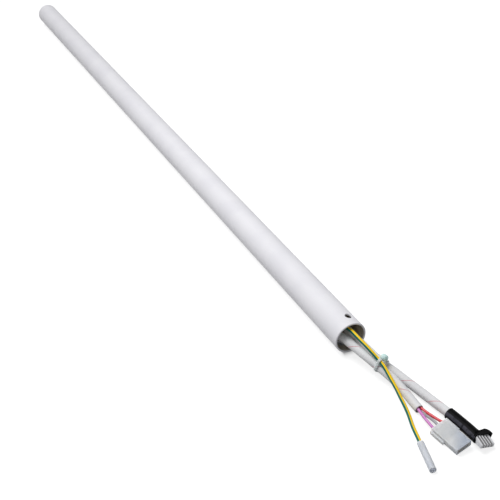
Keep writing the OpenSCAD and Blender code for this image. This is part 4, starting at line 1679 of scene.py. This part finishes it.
@dataclass(frozen=True)
class LightLead:
    """The light lead: a woven sleeve whose boot holds a small four way plug."""

    bore: Bore = Bore()
    sleeve: WovenSleeve = WovenSleeve("light_sleeve", 7.2)
    pin_lane: float = 54.0
    leaves_at: Point = (MOUTH_X, 6.6, 9.4)

    def route(self) -> Array:
        """Free stretch of the sleeve, from the join inside the mouth."""
        start = self.bore.legs([((self.bore.join_in, -17.0, -9.0), self.pin_lane)], self.sleeve.d)
        return np.concatenate([start, near([
            [-2, 6.6, 9.4], [5, 6.7, 9.6], [13, 7.1, 9.6], [21, 7.8, 9.4], [29, 9, 9], [36.5, 10.6, 8.4],
            [45, 13.1, 7.6], [54, 15.6, 6.5], [63, 18.2, 5.4], [72, 20.4, 4.7], [80, 21.9, 4.6],
            [87.5, 23.1, 4.7], [95, 24.4, 4.75], [105, 25.9, 4.75]])])

    def run(self) -> Array:
        """The sleeve inside the tube, over the motor plug to the ceiling end."""
        start = self.bore.legs(
            [((self.bore.join_in, -32.0, -40.0), self.pin_lane), ((-75.0,), 47.0), ((-110.0,), 36.0),
             (self.bore.middle_stations, self.bore.lane_turn(self.sleeve.d))], self.sleeve.d)
        return np.concatenate([start, far([
            [182, 4.2, 7.6], [168, 4.5, 10.2], [154, 4.7, 12.8], [142, 4.8, 14.2], [128, 4.8, 14.5],
            [112, 4.8, 14.5], [98, 4.6, 14.2], [90, 3.6, 12.4], [83, 2, 10.2], [76, 0.9, 8.8], [68, 0.4, 8.1]])])

    def build(self, nodes: Nodes, finishes: Finishes) -> None:
        """Args:
            nodes: The frame's CAD nodes.
            finishes: The finishes to dress them in.
        """
        free, path, join = self.sleeve.build(self.run(), self.route(), finishes.light_sleeving)
        end = FourWayEnd.on_floor().build(nodes, self.route(), finishes)
        FreeCord(free, path, join, self.sleeve.d, self.leaves_at, FarEnd.CONNECTOR, end).declare()


@dataclass(frozen=True)
class Lathe:
    """A turned piece: a profile of places along a line and radii, closed on the axis or as a ring.

    Edges that turn by more than sharp_from degrees stay sharp.
    """

    start: Point
    way: Point
    sides: int = 64
    sharp_from: float = 50.0

    def build(self, profile: Sequence[tuple[float, float]], piece: Piece, material: Material) -> Object:
        """Makes the piece by turning the profile round the line.

        Args:
            profile: Places along the line and radii, in order round the section. The last joins the first.
            piece: Its name, slot, node and body.
            material: Its finish.

        Returns:
            The new object.
        """
        line = np.asarray(profile, float)
        way = unit(np.asarray(self.way, float))
        side = unit(np.cross(UP, way))
        w = round_turn(self.sides)
        ring = np.cos(w)[:, None] * side + np.sin(w)[:, None] * np.cross(way, side)
        points = np.asarray(self.start) + line[:, 0, None, None] * way + line[:, 1, None, None] * ring[None]
        vertices, faces = weld(points.reshape(-1, 3), grid_quads(len(line), self.sides, wrap_rows=True))
        made = piece.make(vertices, sound_faces(faces), [material])
        made.data.set_sharp_from_angle(angle=math.radians(self.sharp_from))
        return made


@dataclass(frozen=True)
class EarthLead:
    """The earth wire, a receptacle crimped to its end and the clear sleeve that slides over both."""

    bore: Bore = Bore()
    wire: RoundWire = RoundWire(3.0)
    lies_over: tuple[float, float] = (7.0, 7.2)
    leaves_at: Point = (MOUTH_X, -1.0, 22.0)
    rear: Point = (MOUTH_X + 112.4, -10.1, 2.6)
    turn: float = -16.0
    wire_in: float = 6.0
    wire_gap: float = 0.1
    socket_r: float = 1.8
    socket_l: float = 16.0
    socket_bore_r: float = 1.4
    socket_bore_l: float = 12.0
    crimp_r: float = 1.65
    crimp_l: float = 2.9
    crimp_edge: float = 0.1
    slope: float = 0.3
    sleeve_r: float = 2.6
    sleeve_bore_r: float = 2.1
    sleeve_l: float = 26.8
    edge: float = 0.2

    def way(self) -> Point:
        """Heading of the terminal on the floor."""
        return (math.cos(math.radians(self.turn)), math.sin(math.radians(self.turn)), 0.0)

    def route(self) -> Array:
        """Free stretch of the wire, which runs straight into its terminal."""
        tail = np.array(self.rear) + np.array([-14.0, -7.0, 0.0, self.wire_in])[:, None] * np.array(self.way())
        return np.concatenate([near([
            [self.bore.join_in, -3.4, 20.4], [-18, -3.4, 20.4], [-10, -3.1, 21.2], [-4.5, -1.7, 21.8],
            [1.5, -0.6, 22], [8.5, -0.3, 21.8], [15.5, 0.4, 21], [22, 1.3, 19.9], [28.5, 2.3, 18.3],
            [35.5, 3.6, 16.1], [43, 3.8, 14.6], [49.5, 3.4, 12.6], [56, 2.8, 10.8], [62.5, 2.3, 8.8],
            [68.5, 1.4, 7.2], [78.5, -0.4, 5.4], [88, -2.8, 3.9], [96, -5.4, 2.8]]), tail])

    def run(self) -> Array:
        """The wire inside the tube, in the groove over the sleeves."""
        groove = self.bore.groove_z(self.lies_over, self.wire.d)
        return np.concatenate([
            near([[self.bore.join_in, -3.4, 20.4], [-32, -3.4, 20.4], [-50, -3, 18.6], [-75, -2, 15.4],
                  [-105, -0.8, 12]]),
            near([[x, 0, groove] for x in self.bore.middle_stations]),
            far([[176, -0.8, 10.8], [158, -2.6, 12], [146, -3.8, 12.6], [138, -4, 12.7], [130, -4, 12.7]])])

    def build_receptacle(self, material: Material) -> Object:
        """Makes the receptacle: a crimp, then a socket with a blind bore."""
        rear, e = self.wire_in + self.wire_gap, self.crimp_edge
        crimp, front = rear + self.crimp_l, rear + self.socket_l
        bottom = front - self.socket_bore_l
        return Lathe(self.rear, self.way()).build(
            [(rear, 0.0), (rear, self.crimp_r - e), (rear + e, self.crimp_r), (crimp, self.crimp_r),
             (crimp + self.slope, self.socket_r), (front - self.slope, self.socket_r),
             (front, self.socket_r - self.edge), (front, self.socket_bore_r), (bottom, self.socket_bore_r),
             (bottom, 0.0)],
            Piece("earth_receptacle", Slot.BRASS, "earth_terminal"), material)

    def build_sleeve(self, material: Material) -> None:
        """Makes the clear sleeve with its rounded ends."""
        r, bore, stop, e = self.sleeve_r, self.sleeve_bore_r, self.sleeve_l, self.edge
        Lathe(self.rear, self.way()).build(
            [(0.0, bore + 0.05), (0.0, r - e), (0.3 * e, r - 0.3 * e), (e, r), (4.0 * e, r), (stop - 4.0 * e, r),
             (stop - e, r), (stop - 0.3 * e, r - 0.3 * e), (stop, r - e), (stop, bore + 0.05), (stop - e, bore),
             (e, bore)],
            Piece("earth_insulating_sleeve", Slot.CLEAR, "earth_terminal_sleeve", Body.EARTH_SLEEVE), material)

    def build(self, finishes: Finishes) -> None:
        """Args:
            finishes: The finishes to dress them in.
        """
        path, join = Path.through(self.run(), self.route())
        in_tube = Piece("earth_wire_in_tube", Slot.EARTH, "earth_wire_run")
        self.wire.sweep(path, 0.0, join).make(in_tube, finishes.earth, -join * MM)
        out = Piece("earth_wire_out", Slot.EARTH, "earth_wire")
        free = self.wire.sweep(path, join, path.total).make(out, finishes.earth, -join * MM)
        receptacle = self.build_receptacle(finishes.brass)
        self.build_sleeve(finishes.clear)
        FreeCord(free, path, join, self.wire.d, self.leaves_at, FarEnd.CONNECTOR, (receptacle,)).declare()


@dataclass(frozen=True)
class CeilingEnd:
    """The loom's other ends, tucked into the tube clear of the cross pin.

    The motor wires start depth inside their sleeve's open end, bunch_r from its middle, and curve to the plug with
    arms that are a reach of the distance long.
    """

    motor: MotorLead = MotorLead()
    light: LightLead = LightLead()
    plug_x: float = 125.4 - MOUTH_X
    bunch_r: float = 1.584
    reach: float = 0.4
    depth: float = 9.8
    bullet_rear: Point = (130.1 - MOUTH_X, -4.0, 12.7)
    barrel_r: float = 1.8
    pin_r: float = 1.35

    def motor_wires(self) -> list[Array]:
        """Cubic curves of the three wires, from the sleeve's open end to the plug's ways."""
        route, plug = self.motor.run(), self.motor.plug
        t = heading(route, len(route) - 1)
        place = np.array([self.plug_x, 0.0, self.motor.bore.bed_z(plug.width / 2.0)])
        share = np.linspace(0.0, 1.0, 9)[:, None]
        lines = []
        for i in (-1, 0, 1):
            turn = math.radians(90.0 - 120.0 * i)
            mouth = route[-1] + self.bunch_r * np.array([0.0, -math.cos(turn), math.sin(turn)])
            entry = place + [0.0, -i * plug.pitch, plug.height / 2.0]
            arm = self.reach * float(np.linalg.norm(entry - mouth)) * t
            curve = ((1 - share) ** 3 * mouth + 3 * share * (1 - share) ** 2 * (mouth + arm)
                     + 3 * share**2 * (1 - share) * (entry - arm) + share**3 * entry)
            lines.append(np.concatenate([[mouth - self.depth * t], curve, [entry + plug.wire_in() * t]]))
        return lines

    def build_bullet(self, material: Material) -> None:
        """Makes the bullet that mates with a receptacle: a barrel with a crimped waist, then the rounded pin."""
        r, waist, pin = self.barrel_r, 0.9 * self.barrel_r, self.pin_r
        Lathe(self.bullet_rear, (-1.0, 0.0, 0.0), 48).build(
            [(0.2, 0.0), (0.2, r - 0.1), (0.3, r), (3.0, r), (3.4, waist), (5.4, waist), (5.8, r), (9.0, r),
             (9.6, pin), (18.4, pin), (18.8, 0.8 * pin), (19.0, 0.55 * pin), (19.0, 0.0)],
            Piece("ceiling_bullet", Slot.BRASS, "ceiling_earth_bullet"), material)

    def build(self, nodes: Nodes, finishes: Finishes) -> None:
        """Makes the plugs, wires, boot and bullet.

        Args:
            nodes: The frame's CAD nodes.
            finishes: The finishes to dress them in.
        """
        self.motor.plug.build(nodes, finishes, "ceiling_", "ceiling_motor_contacts")
        wires = Piece("ceiling_motor_plug_wires", Slot.THIN, "ceiling_motor_wires")
        self.motor.wire.bundle(self.motor_wires(), wires, [finishes.violet, finishes.grey, finishes.red])
        FourWayEnd.tucked_in(self.light.bore).build(nodes, self.light.run(), finishes)
        self.build_bullet(finishes.brass)


@dataclass(frozen=True)
class CableTie:
    """The tie round the bundle: a strap over the hull of the three cords and a rounded head.

    motor_at, light_at and earth_at are the numbers of the points of the cords' routes at the tie. strap_rings and
    head_rings are the counts of points along and round the strap, and up and round the head.
    """

    strap_w: float = 2.4
    strap_t: float = 0.8
    strap_powers: tuple[float, float] = (5.0, 9.0)
    strap_rings: tuple[int, int] = (288, 24)
    gap: float = 0.2
    head_l: float = 6.4
    head_w: float = 6.0
    head_h: float = 5.4
    head_at: float = 0.3
    head_sunk: float = 0.6
    head_rings: tuple[int, int] = (41, 56)
    rounding: float = 2.5
    motor_at: int = 11
    light_at: int = 8
    earth_at: int = 9

    def cords(self, motor: MotorLead, light: LightLead, earth: EarthLead) -> tuple[Array, Array, Array, Array]:
        """Where the cords cross the tie's plane.

        Args:
            motor: The motor lead.
            light: The light lead.
            earth: The earth lead.

        Returns:
            The plane's middle, its three directions (side, up and along the cords), the cords' places in it and
            the radii that the strap keeps to them.
        """
        held = ((motor.route(), self.motor_at, motor.sleeve.d), (light.route(), self.light_at, light.sleeve.d),
                (earth.route(), self.earth_at, earth.wire.d))
        middle = held[0][0][self.motor_at]
        axis = unit(heading(*held[0][:2]) + heading(*held[1][:2]))
        side = unit(np.cross(UP, axis))
        up = np.cross(axis, side)
        places = []
        for route, at, _ in held:
            t = heading(route, at)
            p = route[at] - middle
            q = p - t * (p @ axis) / (t @ axis)
            places.append([q @ side, q @ up])
        radii = np.array([d / 2.0 + self.gap for _, _, d in held])
        return middle, np.stack([side, up, axis]), np.array(places), radii

    def strap(self, c: Array, r: Array) -> tuple[Array, Array]:
        """Points and quads of the strap in the tie's plane.

        Its inner line is the farthest point, over the three cords, of centre . n + radius for each direction n
        round the bundle.

        Args:
            c: Places of the cords in the plane.
            r: Radii that the strap keeps to them.

        Returns:
            The points (side, up, along) and the quads.
        """
        turn, w = (round_turn(count) for count in self.strap_rings)
        n = np.stack([np.cos(turn), np.sin(turn)], -1)
        top = np.argmax(n @ c.T + r, axis=1)
        line = c[top] + r[top, None] * n
        out = self.strap_t / 2.0 * (1.0 + signed_power(np.cos(w), self.strap_powers[0]))
        flat = line[:, None, :] + out[None, :, None] * n[:, None, :]
        along = self.strap_w / 2.0 * signed_power(np.sin(w), self.strap_powers[1])
        points = np.concatenate([flat, np.broadcast_to(along, flat.shape[:2])[..., None]], -1)
        return points.reshape(-1, 3), grid_quads(len(turn), len(w), wrap_rows=True)

    def head(self, c: Array, r: Array) -> tuple[Array, Array]:
        """Points and quads of the head, which stands where the strap spans from the earth wire to the light lead.

        It is a rounded box: a sphere's sines and cosines to a low power.

        Args:
            c: Places of the cords in the plane.
            r: Radii that the strap keeps to them.

        Returns:
            The points (side, up, along) and the quads.
        """
        d = c[1] - c[2]
        lay = math.atan2(d[1], d[0]) + math.acos((r[2] - r[1]) / float(np.hypot(*d)))
        out_way = np.array([math.cos(lay), math.sin(lay)])
        span_way = np.array([out_way[1], -out_way[0]])
        on_earth, on_light = c[2] + r[2] * out_way, c[1] + r[1] * out_way
        seat = on_earth + self.head_at * (on_light - on_earth)
        rows, cols = self.head_rings
        lat = np.pi * (np.arange(rows) / (rows - 1) - 0.5)[:, None]
        lon = round_turn(cols)[None]
        belt = signed_power(np.cos(lat).round(9), self.rounding)
        x = self.head_l / 2.0 * belt * signed_power(np.cos(lon), self.rounding)
        y = self.head_h / 2.0 * (1.0 + signed_power(np.sin(lat), self.rounding)) - self.head_sunk + 0.0 * lon
        z = self.head_w / 2.0 * belt * signed_power(np.sin(lon), self.rounding)
        spot = seat + x[..., None] * span_way + y[..., None] * out_way
        return np.concatenate([spot, z[..., None]], -1).reshape(-1, 3), grid_quads(rows, cols)

    def build(self, motor: MotorLead, light: LightLead, earth: EarthLead, finishes: Finishes) -> None:
        """Makes the strap, which is thin and painted paler than the head as painted light, and the head as one
        piece.

        Args:
            motor: The motor lead that it holds.
            light: The light lead that it holds.
            earth: The earth lead that it holds.
            finishes: The finishes to dress it in.
        """
        middle, ways, c, r = self.cords(motor, light, earth)
        skins = []
        for points, quads in (self.strap(c, r), self.head(c, r)):
            vertices, welded = weld(middle + points @ ways, quads)
            skins.append((vertices, sound_faces(welded)))
        vertices, faces, which = together(skins)
        piece = Piece("cable_tie_strap", Slot.TIE_NYLON, "cable_tie")
        piece.make(vertices, faces, [finishes.strap, finishes.tie], which=which)


@dataclass(frozen=True)
class Stage:
    """Floor that the camera sees as white, a soft sun, a softbox over the motor end and a dim even surround.

    The softbox makes the tube fade a little towards its far end, as in the photo. What the camera sees of the
    floor is a greyer floor with a light of its own, which fades out under the tube, where no other light comes.
    """

    floor_half: float = 6.0
    floor_seen: Colour = (0.36, 0.36, 0.36, 1.0)
    floor_bounce: Colour = (0.5, 0.5, 0.5, 1.0)
    lift: float = 0.78
    surround: float = 0.28
    surround_tint: Colour = (0.97, 0.985, 1.0, 1.0)
    sun_strength: float = 1.75
    sun_spread: float = 44.0
    sun_from: Point = (-0.68, -0.3, 1.0)
    softbox_watts: float = 2.05
    softbox_size: float = 0.45
    softbox_from: Point = (0.24, -0.26, 0.78)
    softbox_at: Point = (0.35, 0.0, 0.0)
    tube_end: float = 0.45
    tube_end_fade: float = 0.005
    tube_half: float = 0.0075

    def build_floor(self) -> None:
        """Makes the floor, whose own light for the camera lifts it to white and keeps the shadow."""
        g = Graph("studio_floor")
        x, y = g.split(g.object_place())
        beside = g.smooth(g.size(y), 0.5 * self.tube_half, self.tube_half)
        beyond = g.smooth(g.size(x), self.tube_end - self.tube_end_fade, self.tube_end + self.tube_end_fade)
        lift = g.times(g.math("MAXIMUM", beside, beyond), self.lift)
        matt = g.add("ShaderNodeBsdfDiffuse", {"Color": self.floor_seen})
        glow = g.add("ShaderNodeEmission", {"Strength": lift})
        lifted = g.add("ShaderNodeAddShader", {0: matt.outputs[0], 1: glow.outputs[0]})
        bounce = g.add("ShaderNodeBsdfDiffuse", {"Color": self.floor_bounce})
        both = g.add("ShaderNodeMixShader", {0: g.seen(), 1: bounce.outputs[0], 2: lifted.outputs[0]})
        mesh = bpy.data.meshes.new("studio_floor")
        e = self.floor_half
        mesh.from_pydata([(-e, -e, 0), (e, -e, 0), (e, e, 0), (-e, e, 0)], [], [(0, 1, 2, 3)])
        mesh.materials.append(g.close(both))
        added("studio_floor", mesh)

    def build_lights(self) -> None:
        """Makes the overhead soft sun and the softbox."""
        sun = bpy.data.lights.new("overhead_soft_sun", "SUN")
        sun.energy = self.sun_strength
        sun.angle = math.radians(self.sun_spread)
        aim(added(sun.name, sun), self.sun_from, (0.0, 0.0, 0.0))
        softbox = bpy.data.lights.new("motor_end_softbox", "AREA")
        softbox.energy = self.softbox_watts
        softbox.shape = "DISK"
        softbox.size = self.softbox_size
        aim(added(softbox.name, softbox), self.softbox_from, self.softbox_at)

    def build_surround(self) -> None:
        """Makes the world: white for the camera, in gloss and through clear pieces, and a plain fill otherwise."""
        g = Graph("studio_surround", world=True)
        fill = g.add("ShaderNodeBackground", {"Color": self.surround_tint, "Strength": self.surround})
        white = g.add("ShaderNodeBackground", {"Color": (1.0, 1.0, 1.0, 1.0), "Strength": 1.0})
        both = g.add("ShaderNodeMixShader", {0: g.seen(), 1: fill.outputs[0], 2: white.outputs[0]})
        bpy.context.scene.world = g.close(both)

    def build(self) -> None:
        """Makes the whole stage."""
        self.build_floor()
        self.build_lights()
        self.build_surround()
        bpy.context.scene.view_settings.view_transform = "Standard"


def main() -> None:
    """Builds the camera, the cords and the other pieces in order."""
    logging.basicConfig(level=logging.INFO, format="%(name)s: %(message)s")
    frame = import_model()
    nodes = frame["nodes"]
    PhotoCamera().build()
    finishes = Finishes()
    motor, light, earth = MotorLead(), LightLead(), EarthLead()
    motor.build(nodes, finishes)
    light.build(nodes, finishes)
    earth.build(finishes)
    CeilingEnd(motor, light).build(nodes, finishes)
    CableTie().build(motor, light, earth, finishes)
    Downrod().build(finishes)
    Stage().build()


if __name__ == "__main__":
    main()
